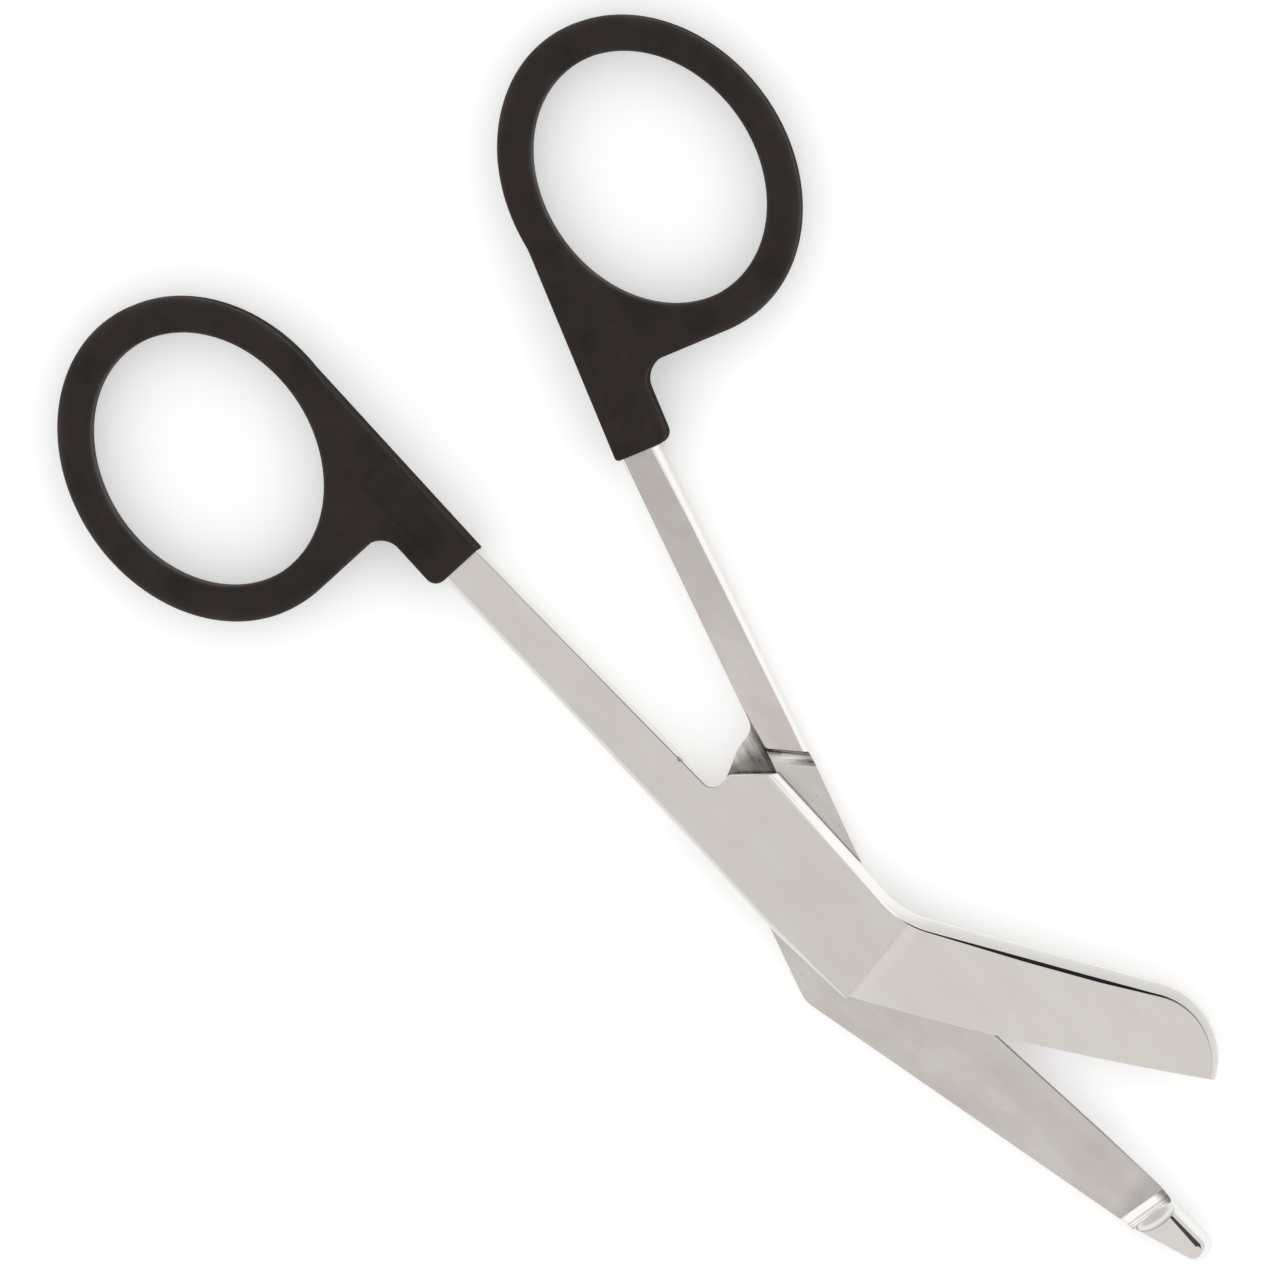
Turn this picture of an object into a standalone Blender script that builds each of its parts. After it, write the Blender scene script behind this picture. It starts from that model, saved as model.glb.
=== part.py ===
# Bandage scissors, 140 mm long when closed, modelled open.
#
# Two forged steel halves cross in a lap joint and turn on one screw. The front half lies on top
# and has a short blunt blade. The rear half has a longer blade that ends in a smooth probe, which
# slides under a dressing. Each handle is a steel shank whose tang sits in a moulded grip with a
# finger ring.
#
# Metres, +Z up. The origin is on the pivot axis, in the plane that the scissors lie on, and +X runs
# between the blades to the tips. Each half is drawn in its own frame: the pivot at the origin, the
# handle along -X, and the blade turned to the left.

import math
from dataclasses import dataclass

import bmesh
import bpy
from mathutils import Matrix, Vector

# Angle between the two halves as they lie, and the clearance between neighbouring pieces
OPEN_ANGLE = math.radians(17.2)
FIT_GAP = 0.0003

# Thicknesses. The grips reach down to z = 0, and the steel is centred on them.
GRIP_THICKNESS = 0.0054
STEEL_THICKNESS = 0.0036

# Lap joint: the wide flats around the pivot, their sloped heels, the shoulders where the full
# thickness of each shank begins, and the hollow ground across the root of the rear half
LAP_WIDTH = 0.0110
FRONT_HEEL_REACH = 0.01425
FRONT_HEEL_SLOPE = math.radians(49)
FRONT_HEEL_START = 0.0019
REAR_HEEL_REACH = 0.0161
REAR_HEEL_SLOPE = math.radians(47)
REAR_HEEL_START = 0.0008
SHOULDER_SLOPE = math.radians(60)
SHOULDER_GAP = 0.00075
SHOULDER_RADIUS = 0.0015
SHOULDER_TAIL = 0.0040
FRONT_THROAT_RADIUS = 0.0012
REAR_THROAT_REACH = 0.0173
REAR_THROAT_RADIUS = 0.0016
HOLLOW_WIDTH = 0.0052
HOLLOW_DEPTH = 0.0008
HOLLOW_INSET = 0.0003
HOLLOW_RUN_OUT = 0.0060

# Shanks, from the throat to the collar of the grip, and the bands along the front half's inner
# edges: how wide they are and how far they fall
FRONT_SHANK_REACH = 0.0479
FRONT_SHANK_ROOT_WIDTH = 0.0050
FRONT_SHANK_END_WIDTH = 0.0043
REAR_SHANK_REACH = 0.0473
REAR_SHANK_ROOT_WIDTH = 0.0036
REAR_SHANK_END_WIDTH = 0.0034
FRONT_SHANK_OFFSET = 0.0017
REAR_SHANK_OFFSET = 0.0015
EDGE_ROUND = 0.0004
BAND_WIDTH = 0.0010
BAND_FALL = 0.00045
CORNER_RADIUS = 0.0008

# Front blade, in a frame turned by its own angle: the spine's distance from the pivot, the reach
# of the blunt tip, and the width at each end
FRONT_BLADE_TURN = math.radians(32.25)
FRONT_SPINE_OFFSET = 0.0001
FRONT_BLADE_REACH = 0.0443
FRONT_EDGE_START = 0.0061
FRONT_BLADE_ROOT_WIDTH = 0.0095
FRONT_BLADE_TIP_WIDTH = 0.0078
FRONT_EDGE_BELLY = 0.00055
FRONT_TIP_RADIUS = 0.0074
FRONT_BEND_RADIUS = 0.007
FRONT_FACE_TAPER = math.radians(0.5)
FRONT_CREASE_REACH = 0.0094
FRONT_CREASE_TURN = math.radians(8)

# Rear blade, in a frame of the same kind, and the probe at its end
REAR_BLADE_TURN = math.radians(30.2)
REAR_SPINE_OFFSET = -0.0096
REAR_NECK_REACH = 0.0454
REAR_NECK_WIDTH = 0.0050
REAR_EDGE_TAPER = math.radians(7.7)
REAR_BEND_RADIUS = 0.006
PROBE_LENGTH = 0.0078
PROBE_OFFSET = 0.0022
PROBE_END_WIDTH = 0.0026
PROBE_ROUND = 0.0012
PROBE_SPINE_ROUND = 0.0006
SCOOP_RADIUS = 0.0011
SCOOP_SETBACK = 0.0006
SCOOP_ANGLE = math.radians(70)
DIMPLE_LENGTH = 0.0024
DIMPLE_WIDTH = 0.0048
DIMPLE_DEPTH = 0.0008
DIMPLE_SETBACK = 0.0003

# The round along the rear blade's spine, and how far both cutting bevels lean back
SPINE_ROUND = 0.0012
BEVEL_LEAN = 0.00035

# Pivot screw, whose slotted head is on the underside
SCREW_SHAFT_RADIUS = 0.0019
SCREW_HEAD_RADIUS = 0.0033
SCREW_HEAD_SEAT = 0.0005
SCREW_HEAD_CHAMFER = 0.0003
SCREW_SLOT_WIDTH = 0.0007
SCREW_SLOT_DEPTH = 0.0005
SCREW_END_COVER = 0.0004

# Tang of each half, the plug of grip material through its anchor hole, and how deep the shank's
# end is seated in its collar and how far its inner side is stepped in there
TANG_LENGTH = 0.0165
TANG_WIDTH = 0.0026
TANG_THICKNESS = 0.0022
PLUG_RADIUS = 0.0006
PLUG_REACH = 0.0110
SEAT_DEPTH = 0.0010
SEAT_STEP = 0.0005

# Grips: the collar around the shank, and the finger ring that leans towards the other handle and
# stands a little past the line of the collar's inner side
COLLAR_WIDTH = 0.0058
COLLAR_CORNER_RADIUS = 0.0012
FRONT_COLLAR_OVERHANG = 0.0002
REAR_COLLAR_OVERHANG = 0.0007
RING_LENGTH = 0.0345
RING_WIDTH = 0.0281
HOLE_LENGTH = 0.0270
HOLE_WIDTH = 0.0216
RING_REACH = 0.0250
FRONT_RING_LEAN = math.radians(8.3)
REAR_RING_LEAN = math.radians(13.3)
FRONT_RING_BULGE = 0.00005
REAR_RING_BULGE = 0.0003
REAR_GRIP_TOE = math.radians(2.7)
RING_ROOT_RADIUS = 0.0024
RING_BLEND_RADIUS = 0.012
GRIP_ROUND = 0.0014
COLLAR_ROUND = 0.0005
PANEL_LENGTH = 0.0110
PANEL_WIDTH = 0.0034
PANEL_MOUTH_WIDTH = 0.0027
PANEL_START = 0.0022
PANEL_DEPTH = 0.00025

# Finish of the facets, how much larger than its edge's round a corner's fillet is at least, and
# the share of the ring's outside over which its edges swell from the collar's round to their own
ARC_STEP = math.radians(12)
SMOOTH_ANGLE = math.radians(25)
ROUND_STEPS = 4
RING_STEPS = 60
BORE_SIDES = 32
BELLY_STEPS = 5
HOLLOW_STEPS = 5
FILLET_MARGIN = 1.2
SWELL_SHARE = 0.2
CUT_MARGIN = 0.001
PLANAR_LIMIT = math.radians(0.01)

# Heights that follow from the thicknesses
MID_HEIGHT = GRIP_THICKNESS / 2
STEEL_BOTTOM = MID_HEIGHT - STEEL_THICKNESS / 2
STEEL_TOP = MID_HEIGHT + STEEL_THICKNESS / 2
REAR_LAP_TOP = MID_HEIGHT - FIT_GAP / 2
FRONT_LAP_BOTTOM = MID_HEIGHT + FIT_GAP / 2
LAP_HALF = LAP_WIDTH / 2


def clear_scene():
    for old in list(bpy.data.objects):
        bpy.data.objects.remove(old, do_unlink=True)


def new_collection(name):
    collection = bpy.data.collections.new(name)
    bpy.context.scene.collection.children.link(collection)
    return collection


def principled(name, colour, metallic, roughness):
    material = bpy.data.materials.new(name)
    material.use_nodes = True
    shader = material.node_tree.nodes["Principled BSDF"]
    shader.inputs["Base Color"].default_value = (*colour, 1.0)
    shader.inputs["Metallic"].default_value = metallic
    shader.inputs["Roughness"].default_value = roughness
    return material


# Outlines

def corner(x, y, fillet=0.0, outer=EDGE_ROUND, inner=EDGE_ROUND, fall=None, lean=0.0):
    # One corner of an outline: its fillet seen from above, the rounds of its edges on the outer
    # and the inner face, how far the outer round falls if that isn't as far as it is wide, and
    # how far the wall leans back towards the outer face.
    if fillet:
        fillet = max(fillet, FILLET_MARGIN * max(outer, inner))
    fall = outer if fall is None else fall
    return {"at": Vector((x, y)), "fillet": fillet, "outer": outer, "inner": inner, "fall": fall,
            "lean": lean}


def turned(point, angle):
    return Matrix.Rotation(angle, 2) @ Vector(point)


def crossing(point_a, angle_a, point_b, angle_b):
    # Where two lines meet, each given by a point and a direction.
    ray_a = Vector((math.cos(angle_a), math.sin(angle_a)))
    ray_b = Vector((math.cos(angle_b), math.sin(angle_b)))
    gap = Vector(point_b) - Vector(point_a)
    along = (gap.x * ray_b.y - gap.y * ray_b.x) / (ray_a.x * ray_b.y - ray_a.y * ray_b.x)
    return Vector(point_a) + ray_a * along


def belly_points(start, end, rise, count):
    # Points of a shallow arc between two ends, bulging to the right of the way from start to end.
    way = end - start
    side = Vector((way.y, -way.x)).normalized()
    shares = [step / (count + 1) for step in range(1, count + 1)]
    return [start + way * share + side * rise * 4 * share * (1 - share) for share in shares]


def counter_clockwise(corners):
    pairs = zip(corners, corners[1:] + corners[:1])
    area = sum(a["at"].x * b["at"].y - b["at"].x * a["at"].y for a, b in pairs)
    return corners if area > 0 else corners[::-1]


def trace(corners):
    # Rounds the corners of a closed outline. Returns its points with their edge sizes.
    path = []
    corners = counter_clockwise(corners)
    for index, here in enumerate(corners):
        back = corners[index - 1]["at"] - here["at"]
        ahead = corners[(index + 1) % len(corners)]["at"] - here["at"]
        half = back.angle(ahead) / 2
        if here["fillet"] == 0 or math.pi / 2 - half < math.radians(0.5):
            path.append(here)
            continue
        tangent = min(
            here["fillet"] / math.tan(half),
            back.length * (0.48 if corners[index - 1]["fillet"] else 0.97),
            ahead.length * (0.48 if corners[(index + 1) % len(corners)]["fillet"] else 0.97),
        )
        radius = tangent * math.tan(half)
        start = here["at"] + back.normalized() * tangent
        end = here["at"] + ahead.normalized() * tangent
        middle = (back.normalized() + ahead.normalized()).normalized()
        centre = here["at"] + middle * (radius / math.sin(half))
        sweep = (start - centre).angle_signed(end - centre)
        steps = max(2, math.ceil(abs(sweep) / ARC_STEP))
        for step in range(steps + 1):
            spoke = Matrix.Rotation(-sweep * step / steps, 2) @ (start - centre)
            path.append({**here, "at": centre + spoke})
    return path


def inward(path):
    # The direction that moves each point of a path inwards by one unit of wall offset.
    directions = []
    for index, here in enumerate(path):
        back = (here["at"] - path[index - 1]["at"]).normalized()
        ahead = (path[(index + 1) % len(path)]["at"] - here["at"]).normalized()
        normal = Vector((-back.y - ahead.y, back.x + ahead.x)).normalized()
        directions.append(normal / normal.dot(Vector((-back.y, back.x))))
    return directions


# Solids

def add_object(name, mesh, collection, parent, material=None):
    obj = bpy.data.objects.new(name, mesh)
    collection.objects.link(obj)
    obj.parent = parent
    if material:
        mesh.materials.append(material)
    else:
        obj.hide_render = True
        obj.display_type = "WIRE"
    return obj


def stacked(name, loops, collection, parent, material=None):
    # A closed solid through a stack of loops with the same number of points.
    mesh = bpy.data.meshes.new(name)
    shape = bmesh.new()
    rings = [[shape.verts.new(point) for point in loop] for loop in loops]
    for low, high in zip(rings, rings[1:]):
        for index in range(len(low)):
            after = (index + 1) % len(low)
            shape.faces.new((low[index], low[after], high[after], high[index]))
    shape.faces.new(rings[0][::-1])
    shape.faces.new(rings[-1])
    bmesh.ops.remove_doubles(shape, verts=shape.verts, dist=1e-7)
    bmesh.ops.connect_verts_nonplanar(shape, angle_limit=PLANAR_LIMIT, faces=shape.faces)
    bmesh.ops.recalc_face_normals(shape, faces=shape.faces)
    shape.to_mesh(mesh)
    shape.free()
    return add_object(name, mesh, collection, parent, material)


def carved_plate(name, corners, bottom, top, collection, parent, material=None, outer_up=True):
    # A flat plate with an outline, whose edges are rounded by each corner's own sizes. Its walls
    # lean from the middle height to the outer face.
    path = trace(corners)
    directions = inward(path)
    middle = (bottom + top) / 2
    quarter = [math.pi / 2 * step / ROUND_STEPS for step in range(ROUND_STEPS + 1)]
    profile = [("low", angle) for angle in quarter]
    profile += [("high", angle) for angle in reversed(quarter)]
    loops = []
    for face, angle in profile:
        loop = []
        for point, direction in zip(path, directions):
            is_outer = (face == "high") == outer_up
            size = point["outer"] if is_outer else point["inner"]
            drop = (point["fall"] if is_outer else size) * (1 - math.cos(angle))
            z = bottom + drop if face == "low" else top - drop
            lean_share = (z - middle if outer_up else middle - z) / (top - middle)
            inset = size * (1 - math.sin(angle)) + point["lean"] * max(0.0, lean_share)
            place = point["at"] + direction * inset
            loop.append((place.x, place.y, z))
        loops.append(loop)
    return stacked(name, loops, collection, parent, material)


def cylinder(name, radius, bottom, top, collection, parent, centre=(0.0, 0.0)):
    bpy.ops.mesh.primitive_cylinder_add(vertices=BORE_SIDES, radius=radius, depth=top - bottom)
    mesh = bpy.context.object.data
    bpy.data.objects.remove(bpy.context.object)
    mesh.transform(Matrix.Translation((centre[0], centre[1], (bottom + top) / 2)))
    return add_object(name, mesh, collection, parent)


def box(name, low, high, collection, parent):
    bpy.ops.mesh.primitive_cube_add(size=1)
    mesh = bpy.context.object.data
    bpy.data.objects.remove(bpy.context.object)
    size = Vector(high) - Vector(low)
    mesh.transform(Matrix.Translation((Vector(low) + Vector(high)) / 2) @ Matrix.Diagonal((*size, 1)))
    return add_object(name, mesh, collection, parent)


def ball(name, size, place, angle, collection, parent):
    bpy.ops.mesh.primitive_uv_sphere_add(segments=BORE_SIDES, ring_count=BORE_SIDES // 2, radius=0.5)
    mesh = bpy.context.object.data
    bpy.data.objects.remove(bpy.context.object)
    mesh.transform(Matrix.Translation(place) @ Matrix.Rotation(angle, 4, "Z")
                   @ Matrix.Diagonal((*size, 1)))
    return add_object(name, mesh, collection, parent)


def combine(target, other, operation):
    modifier = target.modifiers.new(other.name, "BOOLEAN")
    modifier.operation = operation
    modifier.solver = "EXACT"
    modifier.object = other


def shade(obj):
    obj.data.shade_smooth()
    obj.data.set_sharp_from_angle(angle=SMOOTH_ANGLE)


def frame_empty(name, collection, angle):
    empty = bpy.data.objects.new(name, None)
    collection.objects.link(empty)
    empty.rotation_euler.z = angle
    empty.empty_display_size = 0.01
    return empty


# Steel halves

def front_outline(handle):
    turn = FRONT_BLADE_TURN
    root_inner = -(LAP_HALF - FRONT_SHANK_ROOT_WIDTH)
    heel_run = (LAP_HALF - FRONT_HEEL_START) / math.tan(FRONT_HEEL_SLOPE)
    spine_point = turned((0.0, FRONT_SPINE_OFFSET), turn)
    bend = crossing((0.0, LAP_HALF), 0.0, spine_point, turn)
    tip_spine = turned((FRONT_BLADE_REACH, FRONT_SPINE_OFFSET), turn)
    tip_edge = turned((FRONT_BLADE_REACH, FRONT_SPINE_OFFSET - FRONT_BLADE_TIP_WIDTH), turn)
    edge_start = turned((FRONT_EDGE_START, FRONT_SPINE_OFFSET - FRONT_BLADE_ROOT_WIDTH), turn)
    belly = belly_points(edge_start, tip_edge, FRONT_EDGE_BELLY, BELLY_STEPS)
    heel_top = heel_run - FRONT_HEEL_REACH
    band = {"outer": BAND_WIDTH, "fall": BAND_FALL}
    return [
        *handle.seat_corners(),
        corner(-FRONT_HEEL_REACH, root_inner, FRONT_THROAT_RADIUS),
        corner(-FRONT_HEEL_REACH, FRONT_HEEL_START, CORNER_RADIUS),
        corner(heel_top, LAP_HALF, CORNER_RADIUS),
        corner(heel_top + BAND_WIDTH + CORNER_RADIUS, LAP_HALF, **band),
        corner(*bend, FRONT_BEND_RADIUS, **band),
        corner(*tip_spine, FRONT_TIP_RADIUS, **band),
        corner(*tip_edge, lean=BEVEL_LEAN, outer=EDGE_ROUND / 2),
        *[corner(*point, lean=BEVEL_LEAN, outer=0.0) for point in reversed(belly)],
        corner(*edge_start, CORNER_RADIUS, lean=BEVEL_LEAN / 2, outer=EDGE_ROUND / 2),
        corner(0.0, -LAP_HALF, FRONT_BLADE_REACH),
        corner(-FRONT_HEEL_REACH, -LAP_HALF, FRONT_BLADE_REACH),
    ]


def rear_edge_line():
    # A point of the rear blade's cutting edge, and its direction.
    neck_edge = turned((REAR_NECK_REACH, REAR_SPINE_OFFSET + REAR_NECK_WIDTH), REAR_BLADE_TURN)
    return neck_edge, REAR_BLADE_TURN - REAR_EDGE_TAPER


def rear_outline(handle):
    turn = REAR_BLADE_TURN
    root_inner = LAP_HALF - REAR_SHANK_ROOT_WIDTH
    heel_run = (LAP_HALF - REAR_HEEL_START) / math.tan(REAR_HEEL_SLOPE)
    neck_edge, edge_angle = rear_edge_line()
    spine_point = turned((0.0, REAR_SPINE_OFFSET), turn)
    bend = crossing((0.0, -LAP_HALF), 0.0, spine_point, turn)
    edge_start = crossing((0.0, LAP_HALF), 0.0, neck_edge, edge_angle)
    probe_reach = REAR_NECK_REACH + PROBE_LENGTH
    probe_middle = REAR_SPINE_OFFSET + PROBE_OFFSET
    neck_spine = turned((REAR_NECK_REACH, REAR_SPINE_OFFSET), turn)
    end_spine = turned((probe_reach, probe_middle - PROBE_END_WIDTH / 2), turn)
    end_edge = turned((probe_reach, probe_middle + PROBE_END_WIDTH / 2), turn)
    return [
        *handle.seat_corners(),
        corner(-REAR_THROAT_REACH, root_inner, REAR_THROAT_RADIUS),
        corner(-REAR_HEEL_REACH, -REAR_HEEL_START, CORNER_RADIUS),
        corner(heel_run - REAR_HEEL_REACH, -LAP_HALF, CORNER_RADIUS),
        corner(*bend, REAR_BEND_RADIUS, outer=SPINE_ROUND),
        corner(*neck_spine, PROBE_LENGTH, outer=PROBE_ROUND, inner=PROBE_SPINE_ROUND),
        corner(*end_spine, PROBE_ROUND, outer=PROBE_ROUND, inner=PROBE_ROUND),
        corner(*end_edge, PROBE_ROUND, outer=PROBE_ROUND, inner=PROBE_ROUND),
        corner(*neck_edge, PROBE_LENGTH, outer=PROBE_ROUND, inner=PROBE_ROUND),
        corner(*turned((-PROBE_LENGTH, 0.0), edge_angle) + neck_edge, lean=BEVEL_LEAN, outer=0.0),
        corner(*edge_start, REAR_BEND_RADIUS, outer=EDGE_ROUND),
        corner(-REAR_HEEL_REACH, LAP_HALF, FRONT_BLADE_REACH),
    ]


def shoulder_corners(side, knee, tail_drop):
    # The edge of the ground-away side of a lap. Its tail runs back from the knee and out through
    # the inner wall of the shank, and its head runs out past the flat.
    tail = knee + Vector((-SHOULDER_TAIL, -side * tail_drop))
    rise = Vector((math.cos(SHOULDER_SLOPE), side * math.sin(SHOULDER_SLOPE))) * LAP_WIDTH
    return [
        corner(*tail, outer=0.0, inner=SHOULDER_RADIUS),
        corner(*knee, SHOULDER_RADIUS / 3, outer=0.0, inner=SHOULDER_RADIUS),
        corner(*(knee + rise), outer=0.0, inner=SHOULDER_RADIUS),
    ]


def front_lap_cutter(collection, parent):
    # What is ground away under the front half: everything ahead of its shoulder, which stands
    # clear of the rear half's heel.
    knee = Vector((-REAR_HEEL_REACH - SHOULDER_GAP, -REAR_HEEL_START - SHOULDER_GAP))
    shoulder = shoulder_corners(-1, knee, 2 * REAR_HEEL_START)
    far = FRONT_BLADE_REACH + LAP_WIDTH
    around = [
        corner(far, -LAP_WIDTH, outer=0.0, inner=0.0),
        corner(far, far, outer=0.0, inner=0.0),
        corner(shoulder[0]["at"].x, far, outer=0.0, inner=0.0),
    ]
    low = STEEL_BOTTOM - CUT_MARGIN
    return carved_plate("front_lap_cutter", shoulder + around, low, FRONT_LAP_BOTTOM, collection,
                        parent, outer_up=False)


def rear_knee():
    return Vector((-FRONT_HEEL_REACH - SHOULDER_GAP, LAP_HALF - REAR_SHANK_ROOT_WIDTH + EDGE_ROUND / 2))


def scoop_end():
    # Where the scoop of the neck ends, midway across the neck.
    reach = REAR_NECK_REACH - SCOOP_SETBACK + SCOOP_RADIUS
    return turned((reach, REAR_SPINE_OFFSET + REAR_NECK_WIDTH / 2), REAR_BLADE_TURN)


def rear_lap_cutter(collection, parent):
    # What is ground away on top of the rear half: from its shoulder, which stands clear of the
    # front half's heel, to the scoop of the neck.
    knee = rear_knee()
    shoulder = shoulder_corners(1, knee, EDGE_ROUND)
    span = turned((LAP_WIDTH, 0.0), REAR_BLADE_TURN + SCOOP_ANGLE)
    around = [
        corner(*(scoop_end() + span), outer=0.0, inner=SCOOP_RADIUS),
        corner(*(scoop_end() - span), outer=0.0, inner=SCOOP_RADIUS),
        corner(0.0, -2 * LAP_WIDTH, outer=0.0, inner=0.0),
        corner(shoulder[0]["at"].x, -2 * LAP_WIDTH, outer=0.0, inner=0.0),
    ]
    high = STEEL_TOP + CUT_MARGIN
    return carved_plate("rear_lap_cutter", shoulder + around, REAR_LAP_TOP, high, collection, parent)


def throat_hollow_cutter(collection, parent):
    # A shallow hollow ground across the root of the rear half, below its shoulder. It keeps its
    # depth across the throat, and then rises through the lap's flat under the front half.
    knee = rear_knee()
    side = knee.y - HOLLOW_INSET
    stations = [(knee.x - SHOULDER_TAIL, 1.0), (knee.x + HOLLOW_RUN_OUT / 2, 1.0),
                (knee.x + HOLLOW_RUN_OUT, -0.1)]
    loops = []
    for x, share in stations:
        section = [(x, side, STEEL_TOP + CUT_MARGIN), (x, side - HOLLOW_WIDTH, STEEL_TOP + CUT_MARGIN)]
        for step in reversed(range(HOLLOW_STEPS + 1)):
            across = step / HOLLOW_STEPS
            deep = HOLLOW_DEPTH * share * math.sin(math.pi / 2 * across)
            section.append((x, side - HOLLOW_WIDTH * across, REAR_LAP_TOP - deep))
        loops.append(section)
    return stacked("throat_hollow", loops, collection, parent)


def lower_blade_face(half):
    # Tilts the front blade's upper face down towards its tip, from a soft crease across the bend.
    normal = Vector((math.cos(FRONT_CREASE_TURN), math.sin(FRONT_CREASE_TURN), 0.0))
    shape = bmesh.new()
    shape.from_mesh(half.data)
    geometry = [*shape.verts, *shape.edges, *shape.faces]
    bmesh.ops.bisect_plane(shape, geom=geometry, plane_co=normal * FRONT_CREASE_REACH, plane_no=normal)
    for vertex in shape.verts:
        beyond = vertex.co.dot(normal) - FRONT_CREASE_REACH
        rise = (vertex.co.z - MID_HEIGHT) / (STEEL_TOP - MID_HEIGHT)
        if beyond > 0 and rise > 0:
            vertex.co.z -= beyond * math.tan(FRONT_FACE_TAPER) * rise
    bmesh.ops.connect_verts_nonplanar(shape, angle_limit=PLANAR_LIMIT, faces=shape.faces)
    shape.to_mesh(half.data)
    shape.free()


@dataclass
class Handle:
    # What the steel and the grip of one half share: the side of the half's axis that they lie on,
    # the end of the shank, how far the collar stands past it on its inner side, and the ring's pose.
    name: str
    side: int
    reach: float
    offset: float
    shank_width: float
    overhang: float
    ring_lean: float
    ring_bulge: float
    toe: float

    def tang_middle(self):
        return self.side * (self.overhang + self.shank_width / 2)

    def collar_point(self, ahead, out):
        # A point in the half's frame, given from the inner corner of the collar's mouth.
        mouth = Vector((-self.reach, self.side * (self.offset - self.overhang)))
        return mouth + turned((ahead, self.side * out), -self.side * self.toe)

    def seat_corners(self):
        # The end of the shank. Its inner side is stepped in where the collar takes it.
        outer = self.overhang + self.shank_width
        ends = [(-SEAT_DEPTH, outer), (-SEAT_DEPTH, self.overhang + SEAT_STEP),
                (FIT_GAP, self.overhang + SEAT_STEP), (FIT_GAP, self.overhang)]
        return [corner(*self.collar_point(*end)) for end in ends]


def handle_empty(handle, collection, parent):
    # Stands at the inner corner of a collar. Its -X runs back along the grip.
    empty = frame_empty(handle.name + "_handle", collection, -handle.side * handle.toe)
    empty.parent = parent
    empty.location = (*handle.collar_point(0.0, 0.0), 0.0)
    return empty


def add_tang(half, handle, empty, cutters):
    # Steps the end of the shank down to a flat tang with an anchor hole.
    centre = handle.tang_middle()
    low = (-SEAT_DEPTH - TANG_LENGTH, centre - TANG_WIDTH / 2, MID_HEIGHT - TANG_THICKNESS / 2)
    high = (0.0, centre + TANG_WIDTH / 2, MID_HEIGHT + TANG_THICKNESS / 2)
    combine(half, box(handle.name + "_tang", low, high, cutters, empty), "UNION")
    hole = cylinder(handle.name + "_anchor_hole", PLUG_RADIUS + FIT_GAP, 0.0, GRIP_THICKNESS, cutters,
                    empty, centre=(-PLUG_REACH, centre))
    combine(half, hole, "DIFFERENCE")


def make_front_half(parent, handle, empty, pieces, cutters, steel):
    half = carved_plate("front_half", front_outline(handle), STEEL_BOTTOM, STEEL_TOP, pieces, parent,
                        steel)
    lower_blade_face(half)
    combine(half, front_lap_cutter(cutters, parent), "DIFFERENCE")
    bore = cylinder("front_screw_bore", SCREW_SHAFT_RADIUS + FIT_GAP, STEEL_BOTTOM,
                    STEEL_TOP - SCREW_END_COVER, cutters, parent)
    combine(half, bore, "DIFFERENCE")
    add_tang(half, handle, empty, cutters)
    shade(half)


def make_rear_half(parent, handle, empty, pieces, cutters, steel):
    half = carved_plate("rear_half", rear_outline(handle), STEEL_BOTTOM, STEEL_TOP, pieces, parent,
                        steel, outer_up=False)
    combine(half, rear_lap_cutter(cutters, parent), "DIFFERENCE")
    combine(half, throat_hollow_cutter(cutters, parent), "DIFFERENCE")
    dimple_size = (DIMPLE_LENGTH, DIMPLE_WIDTH, 2 * DIMPLE_DEPTH)
    dimple_place = scoop_end() + turned((DIMPLE_SETBACK, 0.0), REAR_BLADE_TURN)
    dimple = ball("neck_dimple", dimple_size, (*dimple_place, STEEL_TOP),
                  REAR_BLADE_TURN + SCOOP_ANGLE - math.pi / 2, cutters, parent)
    combine(half, dimple, "DIFFERENCE")
    bore = cylinder("rear_screw_bore", SCREW_SHAFT_RADIUS + FIT_GAP, STEEL_BOTTOM, STEEL_TOP, cutters,
                    parent)
    combine(half, bore, "DIFFERENCE")
    recess = cylinder("rear_head_recess", SCREW_HEAD_RADIUS + FIT_GAP, STEEL_BOTTOM - CUT_MARGIN,
                      STEEL_BOTTOM + SCREW_HEAD_SEAT, cutters, parent)
    combine(half, recess, "DIFFERENCE")
    add_tang(half, handle, empty, cutters)
    shade(half)


def make_pivot_screw(parent, pieces, cutters, steel):
    # A turned shaft and head, with a slot across the head.
    shaft_top = STEEL_TOP - SCREW_END_COVER - FIT_GAP
    head_top = STEEL_BOTTOM + SCREW_HEAD_SEAT - FIT_GAP
    profile = [
        (0.0, shaft_top),
        (SCREW_SHAFT_RADIUS, shaft_top),
        (SCREW_SHAFT_RADIUS, head_top),
        (SCREW_HEAD_RADIUS, head_top),
        (SCREW_HEAD_RADIUS, SCREW_HEAD_CHAMFER),
        (SCREW_HEAD_RADIUS - SCREW_HEAD_CHAMFER, 0.0),
        (0.0, 0.0),
    ]
    mesh = bpy.data.meshes.new("pivot_screw")
    edges = [(index, index + 1) for index in range(len(profile) - 1)]
    mesh.from_pydata([(x, 0.0, z) for x, z in profile], edges, [])
    screw = add_object("pivot_screw", mesh, pieces, parent, steel)
    spin = screw.modifiers.new("turned", "SCREW")
    spin.axis = "Z"
    spin.steps = BORE_SIDES
    spin.render_steps = BORE_SIDES
    spin.use_merge_vertices = True
    spin.merge_threshold = 0.00001
    low = (-2 * SCREW_HEAD_RADIUS, -SCREW_SLOT_WIDTH / 2, -CUT_MARGIN)
    high = (2 * SCREW_HEAD_RADIUS, SCREW_SLOT_WIDTH / 2, SCREW_SLOT_DEPTH)
    combine(screw, box("screw_slot", low, high, cutters, parent), "DIFFERENCE")


# Grips

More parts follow.
